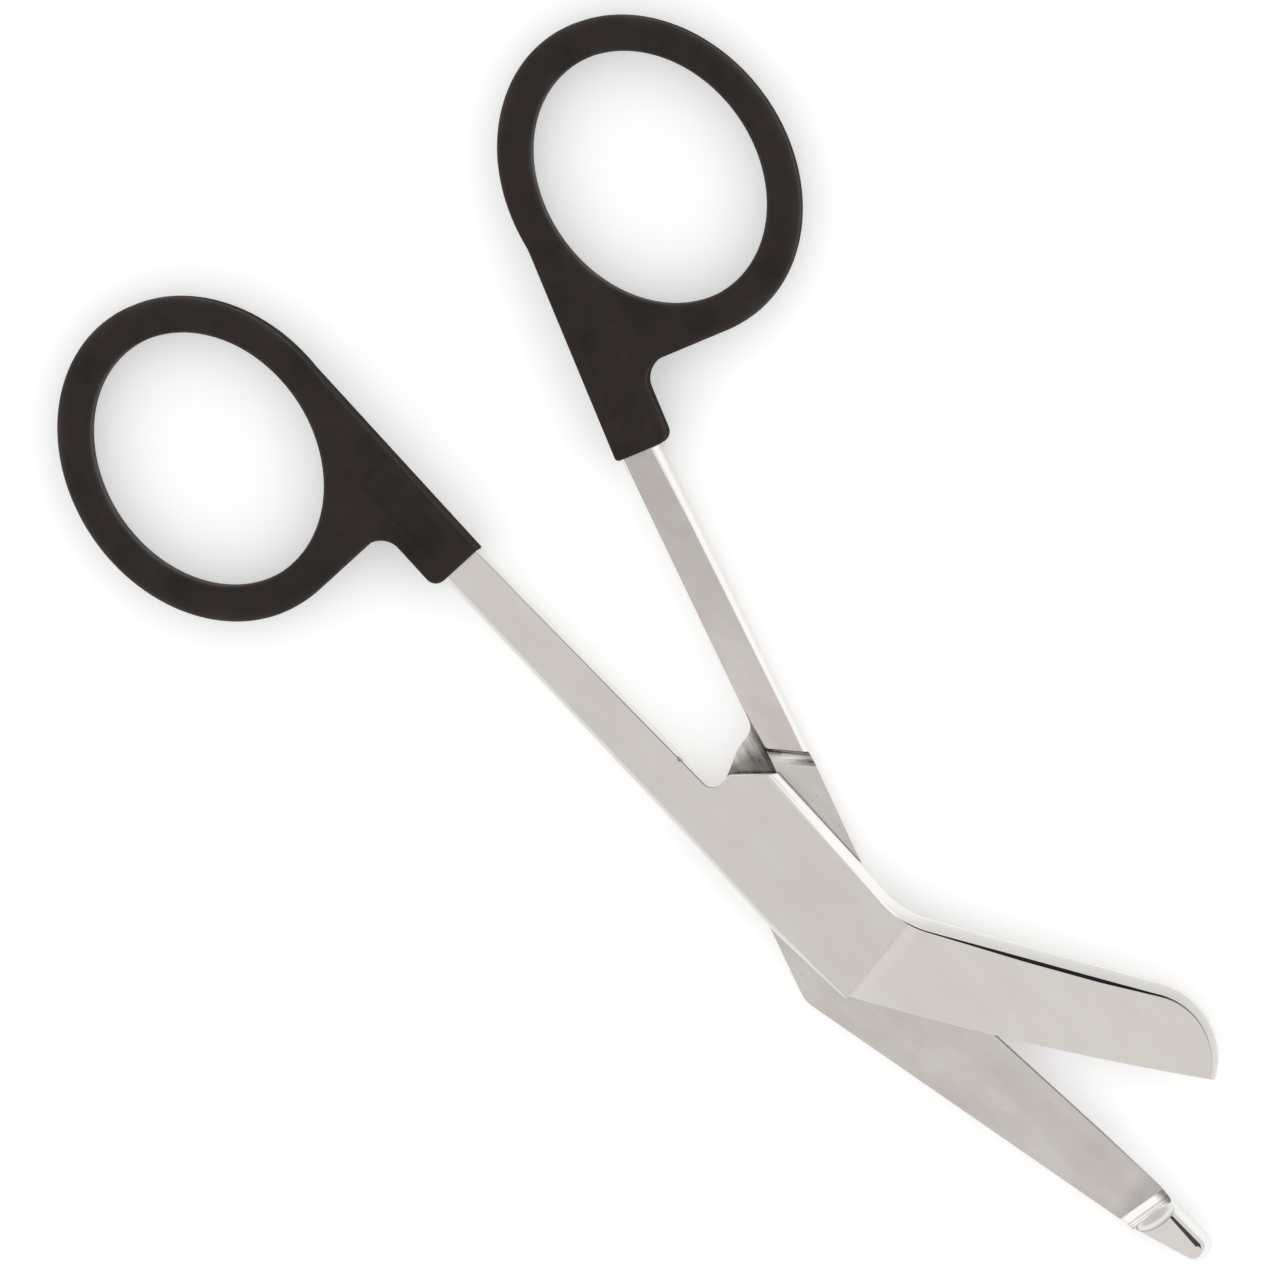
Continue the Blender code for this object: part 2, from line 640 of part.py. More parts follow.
def ring_span(lean):
    # How far the ring's outside reaches sideways from its centre.
    return math.hypot(RING_LENGTH / 2 * math.sin(lean), RING_WIDTH / 2 * math.cos(lean))


def ring_point(handle, length, width, turn):
    # A point of an oval around the ring's centre: backwards and outwards from the collar's corner.
    lean = handle.ring_lean
    centre = Vector((RING_REACH, ring_span(lean) - handle.ring_bulge))
    point = Vector((length / 2 * math.cos(turn), width / 2 * math.sin(turn)))
    return centre + turned(point, -lean)


def grip_outline(handle):
    # The ring's outside runs from where it crosses the line of the straight inner side, round the
    # back, to where it heads for the collar.
    half_length = RING_LENGTH / 2
    half_width = RING_WIDTH / 2
    lean = math.tan(handle.ring_lean)
    start = -math.atan2(half_width, half_length * lean)
    start -= math.acos(1 - handle.ring_bulge / ring_span(handle.ring_lean))
    end = math.pi + math.atan2(half_width * lean, half_length)
    outline = []
    for step in range(RING_STEPS + 1):
        share = step / RING_STEPS
        place = ring_point(handle, RING_LENGTH, RING_WIDTH, start + (end - start) * share)
        size = COLLAR_ROUND + (GRIP_ROUND - COLLAR_ROUND) * min(1.0, share / SWELL_SHARE)
        fillet = 0.0 if step else RING_BLEND_RADIUS
        outline.append((place.x, place.y, fillet, size))
    nearest = outline[-1][0]
    outline.append((nearest, COLLAR_WIDTH, RING_ROOT_RADIUS, COLLAR_ROUND))
    outline.append((0.0, COLLAR_WIDTH, COLLAR_CORNER_RADIUS, COLLAR_ROUND))
    outline.append((0.0, 0.0, COLLAR_ROUND, COLLAR_ROUND))
    return [corner(-back, handle.side * out, fillet, size, size) for back, out, fillet, size in outline]


def ring_hole_cutter(handle, collection, empty):
    # The finger hole, flared at both faces so that its rims are round.
    quarter = [math.pi / 2 * step / ROUND_STEPS for step in range(ROUND_STEPS + 1)]
    flare = [(GRIP_ROUND * (1 - math.cos(angle)), GRIP_ROUND * (1 - math.sin(angle)))
             for angle in quarter]
    levels = [(-CUT_MARGIN, GRIP_ROUND)] + flare
    levels += [(GRIP_THICKNESS - height, wide) for height, wide in reversed(levels)]
    turns = [2 * math.pi * step / RING_STEPS for step in range(RING_STEPS)]
    loops = []
    for height, wide in levels:
        length = HOLE_LENGTH + 2 * wide
        width = HOLE_WIDTH + 2 * wide
        points = [ring_point(handle, length, width, turn) for turn in turns]
        loops.append([(-point.x, handle.side * point.y, height) for point in points])
    return stacked(handle.name + "_ring_hole", loops, collection, empty)


def tang_room_cutter(handle, collection, empty):
    # Room for the tang, with the plug left standing in it.
    centre = handle.tang_middle()
    thick = TANG_THICKNESS / 2 + FIT_GAP
    wide = TANG_WIDTH / 2 + FIT_GAP
    low = (-SEAT_DEPTH - TANG_LENGTH - FIT_GAP, centre - wide, MID_HEIGHT - thick)
    high = (CUT_MARGIN, centre + wide, MID_HEIGHT + thick)
    room = box(handle.name + "_tang_room", low, high, collection, empty)
    plug = cylinder(handle.name + "_plug", PLUG_RADIUS, 0.0, GRIP_THICKNESS, collection, empty,
                    centre=(-PLUG_REACH, centre))
    combine(room, plug, "DIFFERENCE")
    return room


def seat_room_cutter(handle, collection, empty):
    # Room for the stepped end of the shank.
    inner = handle.side * (handle.overhang + SEAT_STEP - FIT_GAP)
    outer = handle.side * (handle.overhang + handle.shank_width + FIT_GAP)
    low = (-SEAT_DEPTH - FIT_GAP, min(inner, outer), STEEL_BOTTOM - FIT_GAP)
    high = (CUT_MARGIN, max(inner, outer), STEEL_TOP + FIT_GAP)
    return box(handle.name + "_seat_room", low, high, collection, empty)


def panel_cutter(name, side, collection, empty, bottom, top):
    # The sunk panel along the collar, narrower towards the collar's mouth.
    middle = COLLAR_WIDTH / 2
    far = PANEL_START + PANEL_LENGTH
    ends = [
        (PANEL_START, middle - PANEL_MOUTH_WIDTH / 2, PANEL_MOUTH_WIDTH / 4),
        (PANEL_START, middle + PANEL_MOUTH_WIDTH / 2, PANEL_MOUTH_WIDTH / 4),
        (far, middle + PANEL_WIDTH / 2, PANEL_WIDTH / 2),
        (far, middle - PANEL_WIDTH / 2, PANEL_WIDTH / 2),
    ]
    outline = [corner(-back, side * out, fillet, 0.0, 0.0) for back, out, fillet in ends]
    return carved_plate(name, outline, bottom, top, collection, empty)


def make_grip(handle, empty, pieces, cutters, plastic):
    grip = carved_plate(handle.name + "_grip", grip_outline(handle), 0.0, GRIP_THICKNESS, pieces,
                        empty, plastic)
    combine(grip, ring_hole_cutter(handle, cutters, empty), "DIFFERENCE")
    combine(grip, tang_room_cutter(handle, cutters, empty), "DIFFERENCE")
    combine(grip, seat_room_cutter(handle, cutters, empty), "DIFFERENCE")
    lower = panel_cutter(handle.name + "_lower_panel", handle.side, cutters, empty, -CUT_MARGIN,
                         PANEL_DEPTH)
    upper = panel_cutter(handle.name + "_upper_panel", handle.side, cutters, empty,
                         GRIP_THICKNESS - PANEL_DEPTH, GRIP_THICKNESS + CUT_MARGIN)
    combine(grip, lower, "DIFFERENCE")
    combine(grip, upper, "DIFFERENCE")
    shade(grip)


def main():
    clear_scene()
    pieces = new_collection("bandage_scissors")
    cutters = new_collection("cutters")
    steel = principled("satin_steel", (0.62, 0.60, 0.57), 1.0, 0.32)
    screw_steel = principled("screw_steel", (0.55, 0.54, 0.52), 1.0, 0.38)
    plastic = principled("black_plastic", (0.030, 0.026, 0.023), 0.0, 0.48)

    front_frame = frame_empty("front_frame", pieces, OPEN_ANGLE / 2)
    rear_frame = frame_empty("rear_frame", pieces, -OPEN_ANGLE / 2)
    front = Handle("front", -1, FRONT_SHANK_REACH, FRONT_SHANK_OFFSET, FRONT_SHANK_END_WIDTH,
                   FRONT_COLLAR_OVERHANG, FRONT_RING_LEAN, FRONT_RING_BULGE, 0.0)
    rear = Handle("rear", 1, REAR_SHANK_REACH, REAR_SHANK_OFFSET, REAR_SHANK_END_WIDTH,
                  REAR_COLLAR_OVERHANG, REAR_RING_LEAN, REAR_RING_BULGE, REAR_GRIP_TOE)
    front_empty = handle_empty(front, pieces, front_frame)
    rear_empty = handle_empty(rear, pieces, rear_frame)

    make_front_half(front_frame, front, front_empty, pieces, cutters, steel)
    make_rear_half(rear_frame, rear, rear_empty, pieces, cutters, steel)
    make_pivot_screw(front_frame, pieces, cutters, screw_steel)
    make_grip(front, front_empty, pieces, cutters, plastic)
    make_grip(rear, rear_empty, pieces, cutters, plastic)


main()
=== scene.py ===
import bmesh
import bpy
import math
from mathutils import Matrix, Vector


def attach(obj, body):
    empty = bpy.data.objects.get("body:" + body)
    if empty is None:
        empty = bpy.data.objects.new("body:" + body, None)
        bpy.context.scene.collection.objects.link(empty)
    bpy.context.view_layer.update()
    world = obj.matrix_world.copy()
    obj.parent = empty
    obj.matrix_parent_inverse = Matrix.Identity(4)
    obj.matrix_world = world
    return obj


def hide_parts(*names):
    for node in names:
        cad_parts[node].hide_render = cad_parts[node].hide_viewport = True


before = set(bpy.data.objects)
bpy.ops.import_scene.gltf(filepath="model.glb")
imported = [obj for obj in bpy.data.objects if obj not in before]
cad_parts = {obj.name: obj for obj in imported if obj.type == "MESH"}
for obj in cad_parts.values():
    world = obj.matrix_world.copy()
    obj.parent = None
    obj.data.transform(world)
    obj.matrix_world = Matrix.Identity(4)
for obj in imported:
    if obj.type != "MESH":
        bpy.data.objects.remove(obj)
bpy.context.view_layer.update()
print("frame loaded")

# Lengths are in millimetres until a mesh is made, angles in degrees.
# Each half is drawn with its handle along -x, and turned by half of the open angle when it is done.
mm = 0.001
openAngle = 17.2
gripThickness = 5.4
steelBottom = 0.9
steelTop = 4.5
steelMiddle = (steelBottom + steelTop) / 2
lapGap = 0.15             # how far each lap stays off the middle height
lapTop = steelMiddle - lapGap     # of the rear half, which lies under the front one
fitGap = 0.3
overcut = 1.0             # how far a cutter stands out of what it cuts

fineness = {
    "arcStep": 3,         # degrees between the points of a fillet
    "straight": 0.3,      # a corner that turns by fewer degrees gets no fillet
    "sharedSide": 0.48,   # the most of a side that a fillet takes when the side's other end has one too
    "wholeSide": 0.97,    # and when it has none
    "inLine": 0.02,       # sine below which two sides count as one line
    "roundSteps": 8,
    "bandSteps": 6,
    "ringSteps": 144,
    "boreSides": 64,
    "hollowSteps": 16,
    "sharpAngle": 15,     # degrees between two faces from which their edge stays sharp
    "mergeGap": 0.0002,   # points nearer to each other than this become one
    "planeGap": 0.0001,   # points nearer to a cutting plane than this count as on it
    "planeAngle": 0.01,   # degrees by which a face may be bent
}


# Stage

stageLook = {
    "floorSize": 6.0,             # metres
    "floorDrop": 0.02,            # keeps faces that lie right on the floor from flickering
    "floorColour": (0.86, 0.86, 0.86),
    "floorGlow": 0.30,            # lifts the floor to white where the camera sees it
    "skyTop": 0.80,               # light from straight above
    "skySide": 1.15,              # light from the sides
    "skyTopAngle": 28,            # degrees from the zenith where the side light begins
    "skySideAngle": 52,           # and where it is full
}


def addNode(tree, kind, inputs=None, **settings):
    # A node with its settings. An input is another node's output, or a plain value.
    node = tree.nodes.new(kind)
    for name, value in settings.items():
        setattr(node, name, value)
    for name, value in (inputs or {}).items():
        if isinstance(value, bpy.types.NodeSocket):
            tree.links.new(value, node.inputs[name])
        else:
            node.inputs[name].default_value = value
    return node


def makeSky(look):
    world = bpy.data.worlds.new("paleStudio")
    bpy.context.scene.world = world
    world.use_nodes = True
    tree = world.node_tree
    tree.nodes.clear()
    place = addNode(tree, "ShaderNodeTexCoord")
    split = addNode(tree, "ShaderNodeSeparateXYZ", {0: place.outputs["Generated"]})
    height = addNode(tree, "ShaderNodeMapRange", {
        "Value": split.outputs["Z"],
        "From Min": math.cos(math.radians(look["skySideAngle"])),
        "From Max": math.cos(math.radians(look["skyTopAngle"])),
        "To Min": look["skySide"], "To Max": look["skyTop"]}, interpolation_type="SMOOTHSTEP")
    light = addNode(tree, "ShaderNodeBackground",
                    {"Color": (1, 1, 1, 1), "Strength": height.outputs["Result"]})
    white = addNode(tree, "ShaderNodeBackground", {"Color": (1, 1, 1, 1)})
    paths = addNode(tree, "ShaderNodeLightPath")
    mix = addNode(tree, "ShaderNodeMixShader",
                  {0: paths.outputs["Is Camera Ray"], 1: light.outputs[0], 2: white.outputs[0]})
    addNode(tree, "ShaderNodeOutputWorld", {"Surface": mix.outputs[0]})


def makeFloor(look):
    bpy.ops.mesh.primitive_plane_add(size=look["floorSize"], location=(0, 0, -look["floorDrop"] * mm))
    floor = bpy.context.object
    floor.name = "floor"
    material = bpy.data.materials.new("paleFloor")
    material.use_nodes = True
    tree = material.node_tree
    tree.nodes.clear()
    matt = addNode(tree, "ShaderNodeBsdfDiffuse", {"Color": (*look["floorColour"], 1)})
    paths = addNode(tree, "ShaderNodeLightPath")
    seen = addNode(tree, "ShaderNodeMath", {0: paths.outputs["Is Camera Ray"],
                                            1: paths.outputs["Is Glossy Ray"]}, operation="MAXIMUM")
    strength = addNode(tree, "ShaderNodeMath", {0: seen.outputs[0], 1: look["floorGlow"]},
                       operation="MULTIPLY")
    glow = addNode(tree, "ShaderNodeEmission", {"Strength": strength.outputs[0]})
    both = addNode(tree, "ShaderNodeAddShader", {0: matt.outputs[0], 1: glow.outputs[0]})
    below = addNode(tree, "ShaderNodeNewGeometry").outputs["Backfacing"]
    clear = addNode(tree, "ShaderNodeBsdfTransparent")
    oneSided = addNode(tree, "ShaderNodeMixShader", {0: below, 1: both.outputs[0], 2: clear.outputs[0]})
    addNode(tree, "ShaderNodeOutputMaterial", {"Surface": oneSided.outputs[0]})
    floor.data.materials.append(material)


cameraView = {
    "lens": 468.07,
    "sensor": 36,
    "clip": (0.1, 10),
    "place": (-0.04253, 0.18048, 1.65937),
    "right": (0.55748, 0.82571, -0.08611),
    "up": (-0.83016, 0.55356, -0.06643),
}


def makeCamera(view):
    data = bpy.data.cameras.new("lens")
    data.lens = view["lens"]
    data.sensor_width = view["sensor"]
    data.clip_start, data.clip_end = view["clip"]
    camera = bpy.data.objects.new("camera", data)
    bpy.context.scene.collection.objects.link(camera)
    right = Vector(view["right"])
    up = Vector(view["up"])
    turn = Matrix((right, up, right.cross(up))).transposed().to_4x4()
    camera.matrix_world = Matrix.Translation(view["place"]) @ turn
    bpy.context.scene.camera = camera


makeSky(stageLook)
makeFloor(stageLook)
makeCamera(cameraView)
print("stage ready")


# Finishes

steelGrain = {
    "brushScale": (150, 4500, 4500),      # per metre, along the brushing and across it
    "cloudScale": (140, 330, 330),
    "pitScale": (2600, 2600, 2600),
    "pitStart": 0.74,                     # noise at which a pit begins
    "pitEnd": 0.80,                       # and is full
    "polish": 0.15,                       # how much smoother the light streaks are than the dark ones
    "height": 0.01,
    "drift": (1.015, 0.985, 0.995),       # the darker tone drifts to pink and the lighter one to green
}
steelInputs = {"Brushing": 0.4, "Smears": 0.4, "Pits": 0.5, "Roughness": 0.25}


def newGroup(name, inputs):
    # A finish of its own, with a place and these values going in.
    group = bpy.data.node_groups.new(name, "ShaderNodeTree")
    sockets = group.interface
    sockets.new_socket("Place", in_out="INPUT", socket_type="NodeSocketVector")
    for socket, value in inputs.items():
        sockets.new_socket(socket, in_out="INPUT", socket_type="NodeSocketFloat").default_value = value
    for socket in ("Tone", "Roughness", "Height"):
        sockets.new_socket(socket, in_out="OUTPUT", socket_type="NodeSocketFloat")
    return group, addNode(group, "NodeGroupInput").outputs


def makeSteelFinish(grain, inputs):
    # Ground or forged steel: brushing along x, cloudy smears and small dark pits.
    group, given = newGroup("steelFinish", inputs)

    def noise(stretch, detail):
        spread = addNode(group, "ShaderNodeMapping", {"Vector": given["Place"], "Scale": stretch})
        return addNode(group, "ShaderNodeTexNoise",
                       {"Vector": spread.outputs[0], "Scale": 1, "Detail": detail}).outputs[0]

    def math2(operation, first, second):
        return addNode(group, "ShaderNodeMath", {0: first, 1: second}, operation=operation).outputs[0]

    brushing = math2("SUBTRACT", noise(grain["brushScale"], 3), 0.5)
    lines = math2("MULTIPLY", brushing, given["Brushing"])
    smears = math2("SUBTRACT", noise(grain["cloudScale"], 4), 0.5)
    clouds = math2("MULTIPLY", smears, given["Smears"])
    speck = addNode(group, "ShaderNodeMapRange", {
        "Value": noise(grain["pitScale"], 1), "From Min": grain["pitStart"],
        "From Max": grain["pitEnd"]}, interpolation_type="SMOOTHSTEP")
    pits = math2("MULTIPLY", speck.outputs[0], given["Pits"])
    relief = math2("SUBTRACT", lines, pits)
    tone = math2("ADD", math2("ADD", relief, clouds), 0.5)
    shine = math2("MULTIPLY", math2("ADD", lines, clouds), -grain["polish"])
    rough = math2("ADD", shine, given["Roughness"])
    addNode(group, "NodeGroupOutput", {"Tone": tone, "Roughness": rough, "Height": relief})
    return group


steelFinish = makeSteelFinish(steelGrain, steelInputs)


def newMaterial(name):
    material = bpy.data.materials.new(name)
    material.use_nodes = True
    return material, material.node_tree, material.node_tree.nodes["Principled BSDF"]


def objectPlace(tree):
    return addNode(tree, "ShaderNodeTexCoord").outputs["Object"]


def mixColours(tree, share, first, second, blend="MIX"):
    return addNode(tree, "ShaderNodeMix", {0: share, 6: first, 7: second}, data_type="RGBA",
                   blend_type=blend).outputs[2]


def dress(tree, shader, colour, height, relief, deepest):
    # Gives a material's shader its colour and its relief, whose deepest place is in millimetres.
    bump = addNode(tree, "ShaderNodeBump", {"Height": height, "Strength": relief, "Distance": deepest * mm})
    tree.links.new(colour, shader.inputs["Base Color"])
    tree.links.new(bump.outputs[0], shader.inputs["Normal"])


def placeAlong(tree, turn):
    # The place on the object, with x along one direction.
    return addNode(tree, "ShaderNodeMapping", {
        "Vector": objectPlace(tree), "Rotation": (0, 0, -math.radians(turn))}).outputs[0]


def alongRamp(tree, turn, stops):
    # A painted brightness that changes with the distance along one direction, from the first stop to the
    # last.
    start = stops[0][0]
    end = stops[-1][0]
    split = addNode(tree, "ShaderNodeSeparateXYZ", {0: placeAlong(tree, turn)})
    share = addNode(tree, "ShaderNodeMapRange",
                    {"Value": split.outputs["X"], "From Min": start * mm, "From Max": end * mm})
    ramp = addNode(tree, "ShaderNodeValToRGB", {0: share.outputs[0]})
    elements = ramp.color_ramp.elements
    elements[0].color = (*[stops[0][1]] * 3, 1)
    elements[1].color = (*[stops[-1][1]] * 3, 1)
    for at, value in stops[1:-1]:
        elements.new((at - start) / (end - start)).color = (value, value, value, 1)
    return ramp.outputs[0]


def steelMaterial(name, look, turn, ramps=()):
    # Steel whose brushing runs along one direction. Each ramp darkens it with the distance, painting light
    # and shade.
    material, tree, shader = newMaterial(name)
    shader.inputs["Metallic"].default_value = 1
    values = {socket: look[socket.lower()] for socket in steelInputs}
    finish = addNode(tree, "ShaderNodeGroup", {"Place": placeAlong(tree, turn), **values},
                     node_tree=steelFinish)
    spread = look["spread"]
    channels = list(zip(look["colour"], steelGrain["drift"]))
    dark = (*[channel * drift * (1 - spread) for channel, drift in channels], 1)
    light = (*[channel / drift * (1 + spread) for channel, drift in channels], 1)
    colour = mixColours(tree, finish.outputs["Tone"], dark, light)
    for ramp in ramps:
        colour = mixColours(tree, 1.0, colour, alongRamp(tree, *ramp), "MULTIPLY")
    dress(tree, shader, colour, finish.outputs["Height"], look["relief"], steelGrain["height"])
    tree.links.new(finish.outputs["Roughness"], shader.inputs["Roughness"])
    return material


frontTurn = openAngle / 2
rearTurn = -openAngle / 2
frontBladeTurn = 32.25
rearBladeTurn = 30.2
creaseTurn = 8            # of the soft crease across the front half's bend
creaseReach = 9.4

frontLook = {"colour": (0.846, 0.793, 0.748), "spread": 0.07, "brushing": 0.35, "smears": 0.9, "pits": 0.5,
             "roughness": 0.21, "relief": 0.25}
rearLook = {"colour": (0.760, 0.705, 0.668), "spread": 0.12, "brushing": 0.18, "smears": 1.7, "pits": 0.9,
            "roughness": 0.25, "relief": 0.2}
bandLook = {"colour": (0.85, 0.83, 0.80), "spread": 0.05, "brushing": 0.5, "smears": 0.5, "pits": 0.3,
            "roughness": 0.17, "relief": 0.2}
wallLook = {"colour": (0.80, 0.805, 0.79), "spread": 0.04, "brushing": 0.4, "smears": 0.5, "pits": 0.2,
            "roughness": 0.22, "relief": 0.2}
# Near-black steel painted where the steel shows only darkness: a dark reflection along the probe's line, and
# shade on the wall of the rear blade's cutting edge
paintedDarkLook = {"colour": (0.07, 0.067, 0.063), "spread": 0.3, "brushing": 0.6, "smears": 0.8, "pits": 0.3,
            "roughness": 0.3, "relief": 0.2}
# The line beside the front half's bands: a strip whose colour is a painted reflection
paintedLineLook = {"colour": (0.90, 0.88, 0.86), "spread": 0.05, "brushing": 0.2, "smears": 0.2, "pits": 0.0,
            "roughness": 0.25, "relief": 0.1}
# The throat's hollow: ground steel whose dark base colour is a painted dark reflection, and whose strong
# smears make mottled patches that are partly the grinding's own and partly painted highlights
throatLook = {"colour": (0.545, 0.505, 0.470), "spread": 0.8, "brushing": 0.55, "smears": 3.0, "pits": 1.0,
              "roughness": 0.3, "relief": 0.8}
# The shoulder's fillet: a dark base colour of painted shade, and strong smears that paint mottled highlights
shoulderLook = {"colour": (0.44, 0.415, 0.39), "spread": 0.85, "brushing": 0.8, "smears": 3.4, "pits": 0.4,
                "roughness": 0.22, "relief": 1.0}
scoopLook = {"colour": (0.92, 0.91, 0.89), "spread": 0.05, "brushing": 0.5, "smears": 0.8, "pits": 0.5,
             "roughness": 0.2, "relief": 0.3}
neckLook = {"colour": (0.71, 0.68, 0.665), "spread": 0.12, "brushing": 0.5, "smears": 1.2, "pits": 0.3,
            "roughness": 0.15, "relief": 0.3}
probeLook = {"colour": (0.83, 0.785, 0.745), "spread": 0.05, "brushing": 0.3, "smears": 0.6, "pits": 0.2,
             "roughness": 0.15, "relief": 0.2}

# Each shade is a direction, and the painted light and shade at distances along it.
# First, across the bend's crease: a painted highlight with a thin painted dark line at the crease, and
# painted shade on the box and, less, on the blade
creaseShade = (frontTurn + creaseTurn, [
    (7.4, 0.888), (9.25, 0.888), (9.4, 0.86), (9.55, 0.97), (10.0, 1.0), (11.2, 0.955), (13.4, 0.945)])
# A painted reflection in the line along the front half's bands: darker towards the shank, pale on the box,
# dark along the blade, fading out towards the tip
lineShade = (frontTurn + frontBladeTurn, [
    (-12, 0.30), (-9, 0.85), (8.6, 1.0), (10.4, 0.03), (36.6, 0.02), (38.4, 0.25), (41.0, 0.42), (46, 0.9)])
# Painted shade: the bright band is a little darker along the blade
bandShade = (frontTurn + frontBladeTurn, [(6, 1.0), (10, 0.94), (14, 0.94)])
# Painted shade in the throat's hollow towards its wall, and a painted shadow where it runs under the front
# half
throatShades = [(rearTurn + 90, [(-3, 1.0), (0.9, 1.0), (1.4, 0.5), (2, 0.35)]),
                (rearTurn, [(-18, 1.0), (-15.6, 1.0), (-14.6, 0.45), (-12, 0.4)])]
# Painted shade: the ends of the neck's scoop are darker than its middle
scoopEndShade = (rearTurn + rearBladeTurn + 90, [
    (-10.5, 0.5), (-9.2, 0.95), (-5.9, 0.95), (-5.1, 0.25), (-4, 0.2)])
# Painted shade on the rear half: darker at the collar, with a painted shadow under the front half, than at
# the shoulder
shankShade = (rearTurn, [
    (-48, 0.78), (-38, 0.80), (-27, 0.89), (-19, 1.0), (-15, 0.96), (-10, 0.85), (0, 0.88), (4, 0.895)])
# Painted shade: the lap darkens softly before the scoop of the neck
scoopShade = (rearTurn + rearBladeTurn, [(40, 1.0), (42.6, 1.0), (44.3, 0.80), (46, 0.80)])

# Each steel has the direction of its brushing
frontSteel = steelMaterial("frontSteel", frontLook, frontTurn, [creaseShade])
rearSteel = steelMaterial("rearSteel", rearLook, rearTurn + rearBladeTurn * 0.8, [shankShade, scoopShade])
bandSteel = steelMaterial("bandSteel", bandLook, frontTurn, [bandShade])
wallSteel = steelMaterial("wallSteel", wallLook, 0)
paintedDarkSteel = steelMaterial("paintedDarkSteel", paintedDarkLook, rearTurn + rearBladeTurn)
paintedLineSteel = steelMaterial("paintedLineSteel", paintedLineLook, frontTurn, [lineShade])
throatSteel = steelMaterial("throatSteel", throatLook, rearTurn + 6, throatShades)
shoulderSteel = steelMaterial("shoulderSteel", shoulderLook, rearTurn + 60)
scoopSteel = steelMaterial("scoopSteel", scoopLook, rearTurn + rearBladeTurn + 70, [scoopEndShade])
neckSteel = steelMaterial("neckSteel", neckLook, rearTurn + rearBladeTurn + 70)
probeSteel = steelMaterial("probeSteel", probeLook, rearTurn + rearBladeTurn)

screwLook = {"dark": (0.42, 0.40, 0.38), "light": (0.74, 0.72, 0.69), "roughness": 0.3,
             "rings": 900, "waver": 1.5, "relief": 0.3, "height": 0.01}
plasticGrain = {
    "grain": 5200, "clouds": 260,                         # per metre
    "cloudStart": 0.3, "cloudEnd": 0.7,
    "wear": 0.5, "wearStart": 0.505, "wearEnd": 0.56,     # by how far an edge stands out
    "roughnessSpread": 0.10,
}
plasticLook = {"dark": (0.0160, 0.0118, 0.0094), "light": (0.0275, 0.0208, 0.0172), "roughness": 0.58,
               "specular": 0.13, "relief": 0.5, "height": 0.02}
plasticWallLook = {**plasticLook, "roughness": 0.8, "specular": 0.04}     # the mould's walls are rougher


def screwMaterial(look):
    # Turned steel: fine rings around the axis.
    material, tree, shader = newMaterial("screwSteel")
    shader.inputs["Metallic"].default_value = 1
    shader.inputs["Roughness"].default_value = look["roughness"]
    rings = addNode(tree, "ShaderNodeTexWave", {
        "Vector": objectPlace(tree), "Scale": look["rings"], "Distortion": look["waver"]},
        wave_type="RINGS", rings_direction="Z").outputs[1]
    colour = mixColours(tree, rings, (*look["dark"], 1), (*look["light"], 1))
    dress(tree, shader, colour, rings, look["relief"], look["height"])
    return material


def makePlasticFinish(grain):
    # Satin moulded plastic: a fine grain, soft clouds, and edges rubbed a little lighter.
    group, given = newGroup("plasticFinish", {"Edge": 0.5, "Roughness": 0.58})
    relief, clouds = [
        addNode(group, "ShaderNodeTexNoise",
                {"Vector": given["Place"], "Scale": scale, "Detail": detail}).outputs[0]
        for scale, detail in ((grain["grain"], 2), (grain["clouds"], 4))]
    worn = addNode(group, "ShaderNodeMapRange", {
        "Value": given["Edge"], "From Min": grain["wearStart"], "From Max": grain["wearEnd"],
        "To Max": grain["wear"]})
    cloudy = addNode(group, "ShaderNodeMapRange", {
        "Value": clouds, "From Min": grain["cloudStart"], "From Max": grain["cloudEnd"]})
    tone = addNode(group, "ShaderNodeMath", {0: cloudy.outputs[0], 1: worn.outputs[0]},
                   operation="ADD", use_clamp=True)
    shine = addNode(group, "ShaderNodeMapRange", {
        "Value": clouds, "To Min": grain["roughnessSpread"], "To Max": -grain["roughnessSpread"]})
    rough = addNode(group, "ShaderNodeMath", {0: shine.outputs[0], 1: given["Roughness"]})
    addNode(group, "NodeGroupOutput",
            {"Tone": tone.outputs[0], "Roughness": rough.outputs[0], "Height": relief})
    return group


plasticFinish = makePlasticFinish(plasticGrain)


def plasticMaterial(name, look):
    material, tree, shader = newMaterial(name)
    shader.inputs["Specular IOR Level"].default_value = look["specular"]
    edges = addNode(tree, "ShaderNodeNewGeometry").outputs["Pointiness"]
    finish = addNode(tree, "ShaderNodeGroup", {
        "Place": objectPlace(tree), "Edge": edges, "Roughness": look["roughness"]},
        node_tree=plasticFinish)
    colour = mixColours(tree, finish.outputs["Tone"], (*look["dark"], 1), (*look["light"], 1))
    dress(tree, shader, colour, finish.outputs["Height"], look["relief"], look["height"])
    tree.links.new(finish.outputs["Roughness"], shader.inputs["Roughness"])
    return material


screwSteel = screwMaterial(screwLook)
blackPlastic = plasticMaterial("blackPlastic", plasticLook)
blackWall = plasticMaterial("blackWall", plasticWallLook)
print("finishes ready")


# Outlines

def band(wide, start, end, rounding, line=0.0, lineSlope=0.0):
    # The bright band along an edge: its width, the slopes of its inner and outer side, the small round to the
    # wall, and the width and slope of the line beside it, a strip that carries a painted reflection.
    return (wide, start, end, rounding, line, lineSlope)


def fullRound(radius):
    return band(0.0, 0.0, 0.0, radius)


def edge(up, down, lean=0.0):
    # The edge of a plate: its upper and its lower side, and how far its wall leans in towards the top.
    return (*up, *down, lean)


def corner(x, y, fillet, into, out=None):
    # A corner of an outline, with its fillet and its edge's values before and after it.
    return {"at": Vector((x, y)), "fillet": fillet, "into": into, "out": out or into}


